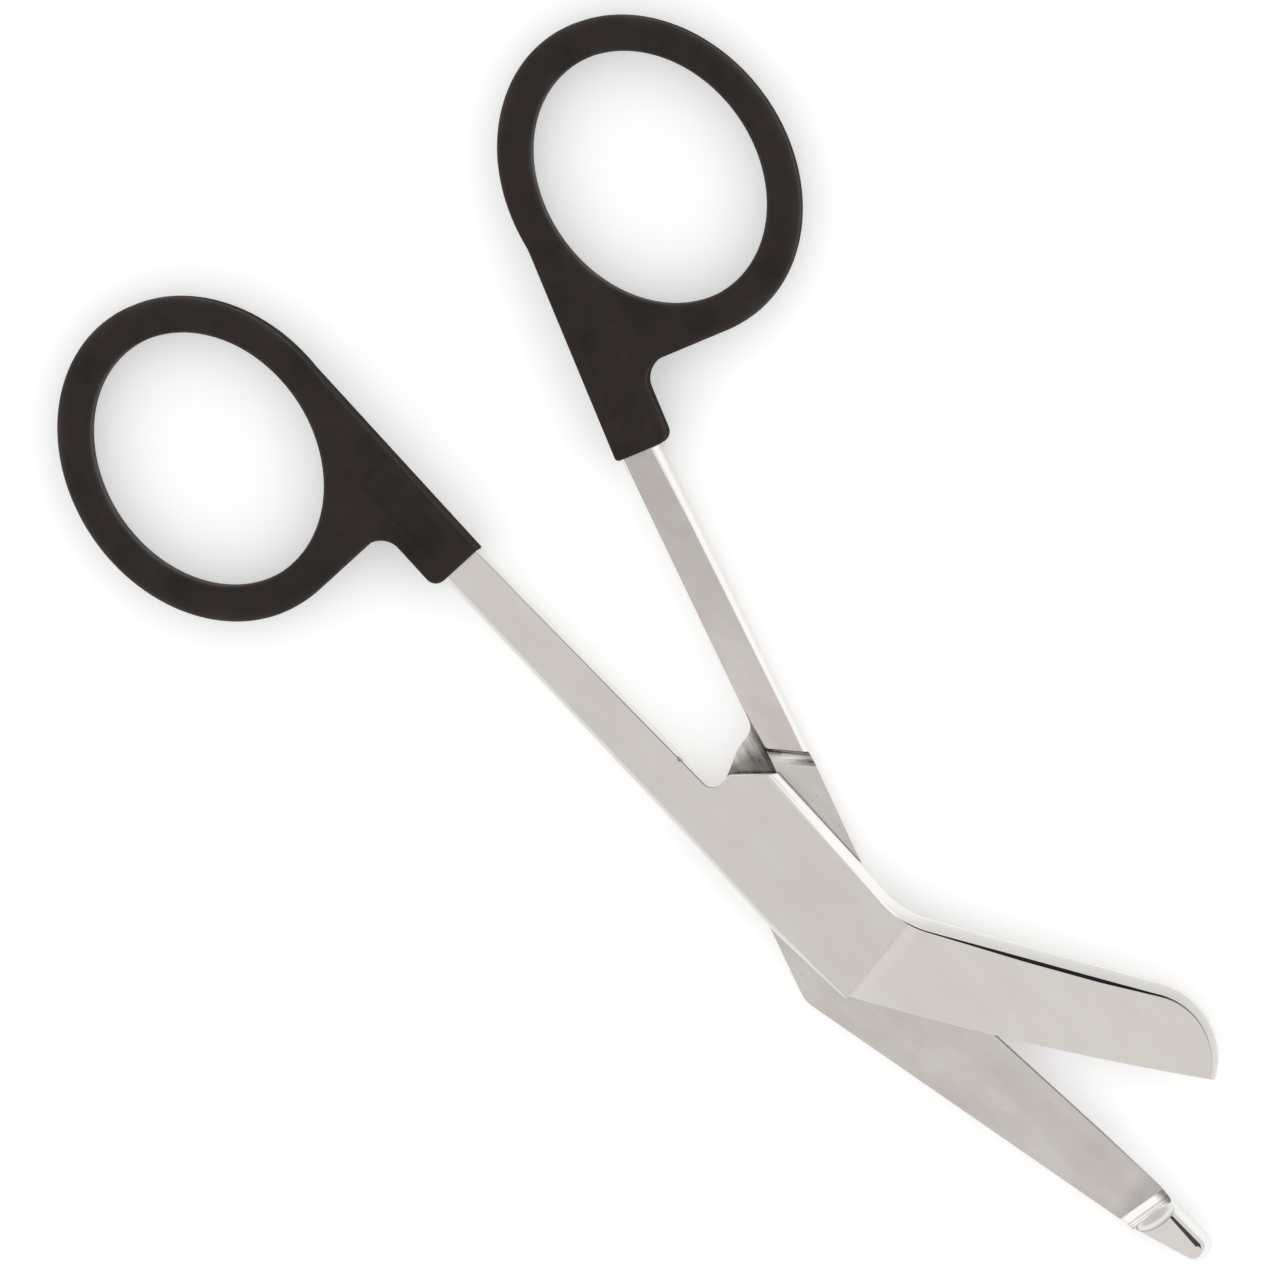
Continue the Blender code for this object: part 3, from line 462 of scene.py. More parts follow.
def turned(point, angle):
    return Matrix.Rotation(math.radians(angle), 2) @ Vector(point)


def crossing(pointA, angleA, pointB, angleB):
    # Where two lines meet.
    rayA = turned((1, 0), angleA)
    rayB = turned((1, 0), angleB)
    gap = Vector(pointB) - Vector(pointA)
    along = (gap.x * rayB.y - gap.y * rayB.x) / (rayA.x * rayB.y - rayA.y * rayB.x)
    return Vector(pointA) + rayA * along


def between(first, second, share):
    return first + (second - first) * share


def mixed(first, second, share):
    return tuple(between(a, b, share) for a, b in zip(first, second))


def trace(corners):
    # Rounds the corners of a counter-clockwise outline.
    path = []
    for index, here in enumerate(corners):
        before = corners[index - 1]
        after = corners[(index + 1) % len(corners)]
        back = before["at"] - here["at"]
        ahead = after["at"] - here["at"]
        half = back.angle(ahead) / 2
        if here["fillet"] == 0 or math.pi / 2 - half < math.radians(fineness["straight"]):
            path.append(here)
            continue
        tangent = min(
            here["fillet"] / math.tan(half),
            back.length * fineness["sharedSide" if before["fillet"] else "wholeSide"],
            ahead.length * fineness["sharedSide" if after["fillet"] else "wholeSide"],
        )
        radius = tangent * math.tan(half)
        start = here["at"] + back.normalized() * tangent
        end = here["at"] + ahead.normalized() * tangent
        middle = (back.normalized() + ahead.normalized()).normalized()
        centre = here["at"] + middle * (radius / math.sin(half))
        sweep = (start - centre).angle_signed(end - centre)
        steps = max(3, math.ceil(abs(sweep) / math.radians(fineness["arcStep"])))
        for step in range(steps + 1):
            values = mixed(here["into"], here["out"], step / steps)
            spoke = Matrix.Rotation(-sweep * step / steps, 2) @ (start - centre)
            path.append({"at": centre + spoke, "into": values, "out": values})
    return path


def movedIn(path, amounts):
    # Each side of a closed path moved inwards by its own amount.
    loop = []
    for index, here in enumerate(path):
        back = (here["at"] - path[index - 1]["at"]).normalized()
        ahead = (path[(index + 1) % len(path)]["at"] - here["at"]).normalized()
        sideBack = Vector((-back.y, back.x))
        sideAhead = Vector((-ahead.y, ahead.x))
        before, after = amounts[index]
        turn = sideBack.x * sideAhead.y - sideBack.y * sideAhead.x
        if abs(turn) < fineness["inLine"]:
            middle = (sideBack + sideAhead).normalized()
            shift = middle * ((before + after) / 2 / middle.dot(sideBack))
        else:
            shift = Vector((before * sideAhead.y - after * sideBack.y,
                            after * sideBack.x - before * sideAhead.x)) / turn
        loop.append(here["at"] + shift)
    return loop


def edgeProfile(values):
    # Steps of one face's edge from the wall to the flat: how far in, how far down.
    wide, start, end, rounding, line, lineSlope = values
    start = math.radians(start)
    end = math.radians(end)
    fall = line * math.tan(math.radians(lineSlope))
    scale = wide / (math.sin(end) - math.sin(start)) if wide else 0.0
    deep = fall + scale * (math.cos(start) - math.cos(end))
    steps = []
    for step in range(fineness["roundSteps"] + 1):
        angle = math.pi / 2 + (end - math.pi / 2) * step / fineness["roundSteps"]
        steps.append((rounding * (1 - math.sin(angle)), deep + rounding * (math.cos(end) - math.cos(angle))))
    rim = steps[-1][0]
    for step in range(1, fineness["bandSteps"] + 1):
        angle = end + (start - end) * step / fineness["bandSteps"]
        steps.append((rim + scale * (math.sin(end) - math.sin(angle)),
                      fall + scale * (math.cos(start) - math.cos(angle))))
    steps.append((rim + wide + line, 0.0))
    return steps


# Solids

def meshObject(name, mesh, materials):
    piece = bpy.data.objects.new(name, mesh)
    bpy.context.scene.collection.objects.link(piece)
    for material in materials:
        mesh.materials.append(material)
    return piece


def finishedMesh(name, shape):
    mesh = bpy.data.meshes.new(name)
    shape.to_mesh(mesh)
    shape.free()
    return mesh


def stackedMesh(name, loops, slots):
    # A closed solid through a stack of loops with the same number of points.
    shape = bmesh.new()
    rings = [[shape.verts.new(Vector(point) * mm) for point in loop] for loop in loops]
    for low, high, slot in zip(rings, rings[1:], slots):
        for index in range(len(low)):
            after = (index + 1) % len(low)
            shape.faces.new((low[index], low[after], high[after], high[index])).material_index = slot
    shape.faces.new(rings[0][::-1])
    shape.faces.new(rings[-1])
    bmesh.ops.remove_doubles(shape, verts=shape.verts, dist=fineness["mergeGap"] * mm)
    bmesh.ops.connect_verts_nonplanar(shape, angle_limit=math.radians(fineness["planeAngle"]),
                                      faces=shape.faces)
    bmesh.ops.recalc_face_normals(shape, faces=shape.faces)
    return finishedMesh(name, shape)


def plateMesh(name, corners, bottom, top, wallSlot=0, foldSlot=0, bandSlot=0, lineSlot=0, seam=None):
    # A flat plate whose edges follow each corner's own values on both faces. A seam is the width
    # and the depth of a groove along the middle of its wall.
    path = trace(corners)
    middle = (bottom + top) / 2
    ups = [(edgeProfile(p["into"][0:6]), edgeProfile(p["out"][0:6])) for p in path]
    downs = [(edgeProfile(p["into"][6:12]), edgeProfile(p["out"][6:12])) for p in path]
    count = len(ups[0][0])
    loops = []
    levels = [(False, step) for step in reversed(range(count))] + [(True, step) for step in range(count)]
    for upper, step in levels:
        amounts, heights = [], []
        for index, point in enumerate(path):
            (inA, dropA), (inB, dropB) = [side[step] for side in (ups if upper else downs)[index]]
            drop = (dropA + dropB) / 2
            z = top - drop if upper else bottom + drop
            rise = max(0.0, (z - middle) / (top - middle))
            amounts.append((inA + point["into"][12] * rise, inB + point["out"][12] * rise))
            heights.append(z)
        loops.append([(place.x, place.y, z) for place, z in zip(movedIn(path, amounts), heights)])
    groove = []
    if seam:
        wide, deep = seam
        groove = [(-wide / 2, 0.0), (-wide / 4, deep), (wide / 4, deep), (wide / 2, 0.0)]
    for level, (rise, inset) in enumerate(groove):
        inner = movedIn(path, [(inset, inset)] * len(path))
        loops.insert(count + level, [(place.x, place.y, middle + rise) for place in inner])
    slots = [0] * (count - 1) + [wallSlot] * (len(groove) + 1)
    slots += [foldSlot] * fineness["roundSteps"] + [bandSlot] * fineness["bandSteps"] + [lineSlot]
    return stackedMesh(name, loops, slots)


def boxMesh(name, low, high):
    shape = bmesh.new()
    bmesh.ops.create_cube(shape, size=1)
    size = Vector(high) - Vector(low)
    middle = (Vector(low) + Vector(high)) / 2
    shape.transform(Matrix.Scale(mm, 4) @ Matrix.Translation(middle) @ Matrix.Diagonal((*size, 1)))
    return finishedMesh(name, shape)


def circle(sides):
    return [2 * math.pi * side / sides for side in range(sides)]


def turnedMesh(name, profile, centre=(0.0, 0.0)):
    # A solid of revolution from its radius at each height.
    loops = [[(centre[0] + radius * math.cos(turn), centre[1] + radius * math.sin(turn), z)
              for turn in circle(fineness["boreSides"])] for radius, z in profile]
    return stackedMesh(name, loops, [0] * (len(profile) - 1))


def drumMesh(name, radius, bottom, top, centre=(0.0, 0.0)):
    return turnedMesh(name, [(radius, bottom), (radius, top)], centre)


def ballMesh(name, size, place, angle):
    shape = bmesh.new()
    bmesh.ops.create_uvsphere(shape, u_segments=fineness["boreSides"], v_segments=fineness["boreSides"] // 2,
                              radius=0.5)
    shape.transform(Matrix.Scale(mm, 4) @ Matrix.Translation(place)
                    @ Matrix.Rotation(math.radians(angle), 4, "Z") @ Matrix.Diagonal((*size, 1)))
    return finishedMesh(name, shape)


def cut(piece, mesh, material):
    # Takes a solid away from a piece. The cut faces get this material.
    cutter = meshObject(mesh.name, mesh, [material])
    modifier = piece.modifiers.new(mesh.name, "BOOLEAN")
    modifier.solver = "EXACT"
    modifier.material_mode = "TRANSFER"
    modifier.object = cutter
    bpy.context.view_layer.update()
    result = bpy.data.meshes.new_from_object(piece.evaluated_get(bpy.context.evaluated_depsgraph_get()))
    piece.modifiers.clear()
    piece.data = result
    bpy.data.objects.remove(cutter)


def repaint(piece, old, new, inside):
    # Gives another material to the faces that have one and whose middle, in millimetres, is inside.
    names = [material.name for material in piece.data.materials]
    if new.name not in names:
        piece.data.materials.append(new)
        names.append(new.name)
    for face in piece.data.polygons:
        if names[face.material_index] == old.name and inside(face.center / mm):
            face.material_index = names.index(new.name)


def settle(piece, angle, node, body):
    # Turns a finished piece from its own frame to where its node stands.
    piece.data.transform(Matrix.Rotation(math.radians(angle), 4, "Z"))
    piece.data.shade_smooth()
    piece.data.set_sharp_from_angle(angle=math.radians(fineness["sharpAngle"]))
    normals = piece.modifiers.new("flatFaces", "WEIGHTED_NORMAL")
    normals.keep_sharp = True
    normals.weight = 100
    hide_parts(node)
    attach(piece, body)
    print(node, "made:", len(piece.data.polygons), "faces")


# Joint, shared by both halves

joint = {
    "lapWidth": 11.0,
    "frontHeelReach": 14.25, "frontHeelSlope": 49, "frontHeelStart": 1.9,
    "rearHeelReach": 16.1, "rearHeelSlope": 47, "rearHeelStart": 0.8,
    "heelRound": 0.8,
    "lapRound": 44,                 # the slow bend from each lap into its shank
    "cuttingRound": 0.02,           # of the cutting edges
    "shoulderSlope": 60, "shoulderGap": 0.75, "shoulderRound": 1.5, "shoulderTail": 4.0,
    "shaftRadius": 1.9, "headRadius": 3.3, "headSeat": 0.5, "endCover": 0.4,
    "seatDepth": 1.0,               # how far the shanks go into their collars
}
lapHalf = joint["lapWidth"] / 2


def shoulderCorners(side, knee, tailDrop, edgeValues):
    # The sloped shoulder that a lap's heel swings up to, from the shank to the lap's far side.
    tail = knee + Vector((-joint["shoulderTail"], -side * tailDrop))
    rise = turned((joint["lapWidth"], 0), side * joint["shoulderSlope"])
    return [corner(*tail, 0, edgeValues), corner(*knee, joint["shoulderRound"] / 3, edgeValues),
            corner(*(knee + rise), 0, edgeValues)]


def halfBlank(name, corners, materials):
    mesh = plateMesh(name, corners, steelBottom, steelTop, wallSlot=1, foldSlot=1, bandSlot=2, lineSlot=3)
    return meshObject(name, mesh, materials)


# Front half: the blunt blade, on top

frontHalf = {
    "shankReach": 47.9, "shankRoot": 5.0, "shankEnd": 4.3, "shankOffset": 1.7,
    "throatRound": 1.2,
    "bladeTurn": frontBladeTurn, "spineOffset": 0.58, "bladeReach": 43.9,
    "edgeStart": 6.1, "rootWidth": 9.98, "tipWidth": 8.28, "belly": 0.55,
    "tipRound": 7.8, "bendRound": 9.0, "bevelLean": 0.35,
    "edgeRound": 0.8,
    "evenSpine": (0.6, 0.38),       # shares of the spine between which its band stays even
    "faceTaper": 0.5,               # degrees by which the blade's face falls towards the tip
    "underRound": 0.4,
    "nick": (-18.77, -0.66), "nickRadius": 0.32, "nickDepth": 0.5,
}
# The line of each band is a strip that the front half's fourth material paints as a reflection
frontBands = {
    "outerSide": band(0.36, 12, 16, 0.08),
    "outerEnd": band(0.06, 12, 16, 0.05),
    "throat": band(0.05, 25, 50, 0.06, 0.12, 2),
    "collar": band(0.10, 30, 60, 0.06, 0.06, 2),
    "heel": band(0.05, 5, 20, 0.06),
    "boxHeel": band(0.80, 29, 52, 0.14, 0.26, 7),
    "boxMiddle": band(0.88, 28, 50, 0.14, 0.05, 7),
    "boxEnd": band(0.84, 25, 34, 0.20, 0.10, 30),
    "spineStart": band(1.10, 19, 25, 0.20, 0.12, 30),
    "spineMiddle": band(1.06, 19, 25, 0.20, 0.40, 6),
    "spineEnd": band(1.02, 19, 25, 0.20, 0.22, 6),
    "tip": band(0.50, 21, 25, 0.15, 0.02, 12),
}


def frontOutline(shape, bands):
    turn = shape["bladeTurn"]
    under = fullRound(shape["underRound"])
    edges = {name: edge(values, under) for name, values in bands.items()}
    end = -(shape["shankReach"] + joint["seatDepth"])
    heelReach = joint["frontHeelReach"]
    heelRun = (lapHalf - joint["frontHeelStart"]) / math.tan(math.radians(joint["frontHeelSlope"]))
    heelTop = Vector((heelRun - heelReach, lapHalf))
    spine = turned((0, shape["spineOffset"]), turn)
    bend = crossing((0, lapHalf), 0, spine, turn)
    tipSpine = turned((shape["bladeReach"], shape["spineOffset"]), turn)
    tipEdge = turned((shape["bladeReach"], shape["spineOffset"] - shape["tipWidth"]), turn)
    edgeStart = turned((shape["edgeStart"], shape["spineOffset"] - shape["rootWidth"]), turn)
    way = tipEdge - edgeStart
    side = Vector((way.y, -way.x)).normalized()
    cutting = edge(fullRound(joint["cuttingRound"]), under, shape["bevelLean"])
    shares = [step / 10 for step in range(1, 10)]
    belly = [edgeStart + way * share + side * shape["belly"] * 4 * share * (1 - share) for share in shares]
    return [
        corner(end, -(shape["shankOffset"] + shape["shankEnd"]), 0, edges["outerSide"]),
        corner(-heelReach, -lapHalf, joint["lapRound"], edges["outerSide"]),
        corner(0, -lapHalf, joint["lapRound"], edges["outerSide"]),
        corner(*edgeStart, shape["edgeRound"], edges["outerEnd"], cutting),
        *[corner(*point, 0, cutting) for point in belly],
        corner(*tipEdge, 0, cutting, edges["tip"]),
        corner(*tipSpine, shape["tipRound"], edges["tip"], edges["spineEnd"]),
        *[corner(*between(bend, tipSpine, share), 0, edges["spineMiddle"]) for share in shape["evenSpine"]],
        corner(*bend, shape["bendRound"], edges["spineStart"], edges["boxEnd"]),
        corner(*between(bend, heelTop, 0.5), 0, edges["boxMiddle"]),
        corner(*heelTop, 0, edges["boxHeel"], edges["heel"]),
        corner(-heelReach, joint["frontHeelStart"], joint["heelRound"], edges["heel"]),
        corner(-heelReach, shape["shankRoot"] - lapHalf, shape["throatRound"], edges["heel"],
               edges["throat"]),
        corner(end, -shape["shankOffset"], 0, edges["collar"]),
    ]


def frontLapCutter():
    # What is under the front half's lap and blade, up to the shoulder on its shank.
    wall = edge(fullRound(joint["shoulderRound"]), fullRound(0))
    sharp = edge(fullRound(0), fullRound(0))
    knee = Vector((-joint["rearHeelReach"] - joint["shoulderGap"],
                   -joint["rearHeelStart"] - joint["shoulderGap"]))
    shoulder = shoulderCorners(-1, knee, 2 * joint["rearHeelStart"], wall)
    far = frontHalf["bladeReach"] + joint["lapWidth"]
    around = [corner(far, -joint["lapWidth"], 0, sharp), corner(far, far, 0, sharp),
              corner(shoulder[0]["at"].x, far, 0, sharp)]
    return plateMesh("frontLapCutter", shoulder + around, steelBottom - overcut, steelMiddle + lapGap)


def lowerFace(mesh, shape):
    # Tilts the blade's upper face down towards the tip, from a soft crease across the bend.
    work = bmesh.new()
    work.from_mesh(mesh)
    normal = turned((1, 0), creaseTurn)
    geometry = list(work.verts) + list(work.edges) + list(work.faces)
    bmesh.ops.bisect_plane(work, geom=geometry, plane_co=Vector((*(normal * creaseReach), 0)) * mm,
                           plane_no=(*normal, 0), dist=fineness["planeGap"] * mm)
    for vertex in work.verts:
        beyond = (vertex.co.to_2d() / mm).dot(normal) - creaseReach
        rise = (vertex.co.z / mm - steelMiddle) / (steelTop - steelMiddle)
        if beyond > 0 and rise > 0:
            vertex.co.z -= beyond * math.tan(math.radians(shape["faceTaper"])) * rise * mm
    work.to_mesh(mesh)
    work.free()


def makeFrontHalf(shape):
    piece = halfBlank("frontHalf", frontOutline(shape, frontBands),
                      [frontSteel, wallSteel, bandSteel, paintedLineSteel])
    lowerFace(piece.data, shape)
    cut(piece, frontLapCutter(), rearSteel)
    cut(piece, drumMesh("screwBore", joint["shaftRadius"] + fitGap, 0, steelTop - joint["endCover"]),
        frontSteel)
    cut(piece, drumMesh("edgeNick", shape["nickRadius"], steelTop - shape["nickDepth"], steelTop + overcut,
                        shape["nick"]), throatSteel)
    return piece


settle(makeFrontHalf(frontHalf), frontTurn, "front_half", "blunt_half")


# Rear half: the longer blade with the probe

rearHalf = {
    "shankReach": 47.3, "shankRoot": 3.6, "shankEnd": 3.4, "shankOffset": 1.5,
    "throatReach": 17.3, "throatRound": 1.6,
    "hollowWidth": 5.2, "hollowDepth": 0.8, "hollowInset": 0.3, "hollowRunOut": 6.0,
    "bladeTurn": rearBladeTurn, "spineOffset": -9.6, "neckReach": 45.4, "neckWidth": 5.0,
    "edgeTaper": 7.7, "bendRound": 6.0, "spineBendRound": 3.2,
    "probeLength": 7.79, "probeOffset": 2.2, "probeEnd": 2.6, "probeRound": 1.2,
    "probeTopRound": 1.0, "probeSpineRound": 0.3, "probeCornerRound": 1.44,
    # The probe's line is a strip painted with the near-black steel as a dark reflection
    "probeLine": 0.5, "probeLineStart": 0.16, "probeLineSlope": 5,
    "scoopLength": 1.47, "scoopReach": 46.4, "scoopAngle": 70, "scoopStart": 36, "scoopEnd": 70,
    "dimpleLength": 2.2, "dimpleWidth": 4.6, "dimpleDepth": 0.9, "dimpleReach": 46.65,
    "topRound": 0.4,
    "spineRound": 1.2,
    "flank": 0.36, "throatFlank": 0.4, "collarFlank": 0.15,    # how far the shank's walls bulge
    "flankMiddle": 0.7,             # share of the outer flank at which its band changes
    "kneeLift": 0.2, "tailDrop": 0.4,
}
rearBands = {
    "inner": band(0.14, 20, 44, 0.08),
    "shoulder": band(0.40, 18, 74, 0.08),
    "middle": band(0.54, 17, 75, 0.08),
    "collar": band(0.80, 12, 74, 0.08),
}


def rearOutline(shape, bands):
    turn = shape["bladeTurn"]
    end = -(shape["shankReach"] + joint["seatDepth"])
    heelReach = joint["rearHeelReach"]
    heelRun = (lapHalf - joint["rearHeelStart"]) / math.tan(math.radians(joint["rearHeelSlope"]))
    neckEdge = turned((shape["neckReach"], shape["spineOffset"] + shape["neckWidth"]), turn)
    edgeAngle = turn - shape["edgeTaper"]
    bend = crossing((0, -lapHalf), 0, turned((0, shape["spineOffset"]), turn), turn)
    edgeStart = crossing((0, lapHalf), 0, neckEdge, edgeAngle)
    reach = shape["neckReach"] + shape["probeLength"]
    middle = shape["spineOffset"] + shape["probeOffset"]
    neckSpine = turned((shape["neckReach"], shape["spineOffset"]), turn)
    endSpine = turned((reach, middle - shape["probeEnd"] / 2), turn)
    endEdge = turned((reach, middle + shape["probeEnd"] / 2), turn)
    small = fullRound(shape["topRound"])
    full = fullRound(shape["probeRound"])
    heel = edge(small, small)
    edges = {name: edge(values, small) for name, values in bands.items()}
    spine = edge(small, fullRound(shape["spineRound"]))
    probeSpine = edge(fullRound(shape["probeSpineRound"]), full)
    probeEnd = edge(fullRound(shape["probeTopRound"]), full)
    probeEdge, probeStart = [
        edge(band(0, 0, 0, shape["probeTopRound"], line, shape["probeLineSlope"]), full)
        for line in (shape["probeLine"], shape["probeLineStart"])]
    cutting = edge(small, fullRound(joint["cuttingRound"]))
    shoulderPoint = Vector((-heelReach, lapHalf + shape["flank"] / 2))
    collarPoint = Vector((end, shape["shankOffset"] + shape["shankEnd"] + shape["flank"]))
    return [
        corner(end, shape["shankOffset"] - shape["collarFlank"], 0, edges["inner"]),
        corner(-shape["throatReach"], lapHalf - shape["shankRoot"] - shape["throatFlank"],
               shape["throatRound"], edges["inner"], heel),
        corner(-heelReach, -joint["rearHeelStart"], joint["heelRound"], heel),
        corner(heelRun - heelReach, -lapHalf, joint["heelRound"], heel, spine),
        corner(*bend, shape["spineBendRound"], spine),
        corner(*neckSpine, shape["probeLength"], spine, probeSpine),
        corner(*endSpine, shape["probeCornerRound"], probeSpine, probeEnd),
        corner(*endEdge, shape["probeCornerRound"], probeEnd, probeEdge),
        corner(*neckEdge, shape["probeLength"], probeStart),
        corner(*(neckEdge + turned((-shape["probeLength"], 0), edgeAngle)), 0, cutting),
        corner(*edgeStart, shape["bendRound"], cutting, edges["shoulder"]),
        corner(*shoulderPoint, joint["lapRound"], edges["shoulder"]),
        corner(*between(shoulderPoint, collarPoint, shape["flankMiddle"]), 0, edges["middle"]),
        corner(*collarPoint, 0, edges["collar"]),
    ]


def rearKnee(shape):
    # Where the shoulder on the rear shank begins to slope.
    return Vector((-joint["frontHeelReach"] - joint["shoulderGap"],
                   lapHalf - shape["shankRoot"] + shape["kneeLift"]))


def onNeck(shape, reach):
    # The middle of the neck, at a distance along the blade.
    return turned((reach, shape["spineOffset"] + shape["neckWidth"] / 2), shape["bladeTurn"])


def rearLapCutter(shape):
    # What is over the rear half's lap and blade, from the shoulder to the scoop before the probe.
    wall = edge(fullRound(0), fullRound(joint["shoulderRound"]))
    sharp = edge(fullRound(0), fullRound(0))
    scoop = edge(fullRound(0), band(shape["scoopLength"], shape["scoopStart"], shape["scoopEnd"], 0.0))
    shoulder = shoulderCorners(1, rearKnee(shape), shape["tailDrop"], wall)
    span = turned((joint["lapWidth"], 0), shape["bladeTurn"] + shape["scoopAngle"])
    end = onNeck(shape, shape["scoopReach"])
    around = [corner(*(end + span), 0, scoop), corner(*(end - span), 0, scoop, sharp),
              corner(0, -2 * joint["lapWidth"], 0, sharp),
              corner(shoulder[0]["at"].x, -2 * joint["lapWidth"], 0, sharp, wall)]
    corners = (shoulder + around)[::-1]
    for each in corners:
        each["into"], each["out"] = each["out"], each["into"]
    return plateMesh("rearLapCutter", corners, lapTop, steelTop + overcut)


def throatHollow(shape):
    # A shallow hollow ground across the root. It rises through the lap's flat under the front half.
    knee = rearKnee(shape)
    side = knee.y - shape["hollowInset"]
    stations = [(knee.x - joint["shoulderTail"], 1.0), (knee.x + shape["hollowRunOut"] / 2, 1.0),
                (knee.x + shape["hollowRunOut"], -0.1)]
    loops = []
    for x, share in stations:
        section = [(x, side, steelTop + overcut), (x, side - shape["hollowWidth"], steelTop + overcut)]
        for step in reversed(range(fineness["hollowSteps"] + 1)):
            across = step / fineness["hollowSteps"]
            deep = shape["hollowDepth"] * share * math.sin(math.pi / 2 * across)
            section.append((x, side - shape["hollowWidth"] * across, lapTop - deep))
        loops.append(section)
    return stackedMesh("throatHollow", loops, [0, 0])


def makeRearHalf(shape):
    piece = halfBlank("rearHalf", rearOutline(shape, rearBands), [rearSteel, wallSteel, bandSteel, paintedDarkSteel])
    cut(piece, rearLapCutter(shape), shoulderSteel)
    cut(piece, throatHollow(shape), throatSteel)
    dimple = (shape["dimpleLength"], shape["dimpleWidth"], 2 * shape["dimpleDepth"])
    cut(piece, ballMesh("neckDimple", dimple, (*onNeck(shape, shape["dimpleReach"]), steelTop),
                        shape["bladeTurn"] + shape["scoopAngle"] - 90), neckSteel)
    cut(piece, drumMesh("screwBore", joint["shaftRadius"] + fitGap, 0, steelTop), rearSteel)
    cut(piece, drumMesh("headRecess", joint["headRadius"] + fitGap, 0, steelBottom + joint["headSeat"]),
        rearSteel)
    ahead = turned((1, 0), shape["bladeTurn"])
    aside = turned((0, 1), shape["bladeTurn"])
    neckStart = shape["neckReach"] - 3
    bladeStart = 6
    cuttingSide = shape["spineOffset"] + shape["neckWidth"] - 1

    def onCuttingWall(at):
        flat = at.to_2d()
        return flat.dot(ahead) > bladeStart and flat.dot(aside) > cuttingSide and at.z < lapTop

    def beyondNeck(at):
        return at.to_2d().dot(ahead) > neckStart

    def onLap(at):
        return abs(at.z - lapTop) < 0.01

    repaint(piece, shoulderSteel, rearSteel, onLap)
    repaint(piece, shoulderSteel, scoopSteel, beyondNeck)
    repaint(piece, rearSteel, probeSteel, lambda at: beyondNeck(at) and at.z > lapTop + 0.1)
    # Painted shade: the wall of the blade's cutting edge gets the near-black steel
    repaint(piece, wallSteel, paintedDarkSteel, onCuttingWall)
    return piece


settle(makeRearHalf(rearHalf), rearTurn, "rear_half", "probe_half")


# Pivot screw, seen from below

pivotScrew = {"chamfer": 0.3, "slotWidth": 0.7, "slotDepth": 0.5}


def makePivotScrew(shape):
    top = steelTop - joint["endCover"] - fitGap
    headTop = steelBottom + joint["headSeat"] - fitGap
    head = joint["headRadius"]
    shaft = joint["shaftRadius"]
    profile = [(head - shape["chamfer"], 0.0), (head, shape["chamfer"]), (head, headTop), (shaft, headTop),
               (shaft, top)]
    piece = meshObject("pivotScrew", turnedMesh("pivotScrew", profile), [screwSteel])
    half = shape["slotWidth"] / 2
    cut(piece, boxMesh("slot", (-2 * head, -half, -overcut), (2 * head, half, shape["slotDepth"])),
        screwSteel)
    return piece


settle(makePivotScrew(pivotScrew), frontTurn, "pivot_screw", "blunt_half")


# Grips

grip = {
    "collarWidth": 5.8, "collarCorner": 1.2, "collarRound": 0.5, "mouthRound": 0.3,
    "ringLength": 34.48, "ringWidth": 28.08, "holeLength": 27.0, "holeWidth": 21.6,
    "ringReach": 25.0, "ringRound": 1.4, "rootRound": 2.4, "blendRound": 12.0,
    "blendShare": 0.2,            # share of the ring over which the collar's round grows to the ring's
    "panelLength": 11.0, "panelWidth": 3.4, "panelMouth": 2.7, "panelStart": 2.2, "panelDepth": 0.25,
    "panelMouthRound": 0.7,       # share of half the mouth
    "panelFlare": 0.45,           # how wide the soft wall around the sunk panel is
    "seam": (0.16, 0.06),         # parting line of the mould, around the wall
}
frontGrip = {"side": -1, "half": frontHalf, "overhang": 0.2, "lean": 8.3, "bulge": 0.05, "toe": 0.0,
             "mouthCorner": 0.0}
rearGrip = {"side": 1, "half": rearHalf, "overhang": 0.7, "lean": 13.3, "bulge": 0.3, "toe": 2.7,
            "mouthCorner": 0.42}


def ringSpan(handle):
    # How far the leaning ring reaches to each side of its middle.
    lean = math.radians(handle["lean"])
    return math.hypot(grip["ringLength"] / 2 * math.sin(lean), grip["ringWidth"] / 2 * math.cos(lean))


def ringPoint(handle, length, width, turn):
    centre = Vector((grip["ringReach"], ringSpan(handle) - handle["bulge"]))
    point = Vector((length / 2 * math.cos(turn), width / 2 * math.sin(turn)))
    return centre + turned(point, -handle["lean"])


def gripOutline(handle):
    halfLength = grip["ringLength"] / 2
    halfWidth = grip["ringWidth"] / 2
    lean = math.tan(math.radians(handle["lean"]))
    start = -math.atan2(halfWidth, halfLength * lean)
    start -= math.acos(1 - handle["bulge"] / ringSpan(handle))
    end = math.pi + math.atan2(halfWidth * lean, halfLength)
    points = []
    for step in range(fineness["ringSteps"] + 1):
        share = step / fineness["ringSteps"]
        place = ringPoint(handle, grip["ringLength"], grip["ringWidth"], between(start, end, share))
        size = between(grip["collarRound"], grip["ringRound"], min(1.0, share / grip["blendShare"]))
        points.append((place.x, place.y, 0 if step else grip["blendRound"], size))
    points.append((points[-1][0], grip["collarWidth"], grip["rootRound"], grip["collarRound"]))
    points.append((0, grip["collarWidth"], grip["collarCorner"], grip["collarRound"]))
    points.append((0, 0, handle["mouthCorner"], grip["mouthRound"]))
    corners = [corner(-back, handle["side"] * out, fillet, edge(fullRound(size), fullRound(size)))
               for back, out, fillet, size in points]
    return corners if handle["side"] < 0 else corners[::-1]


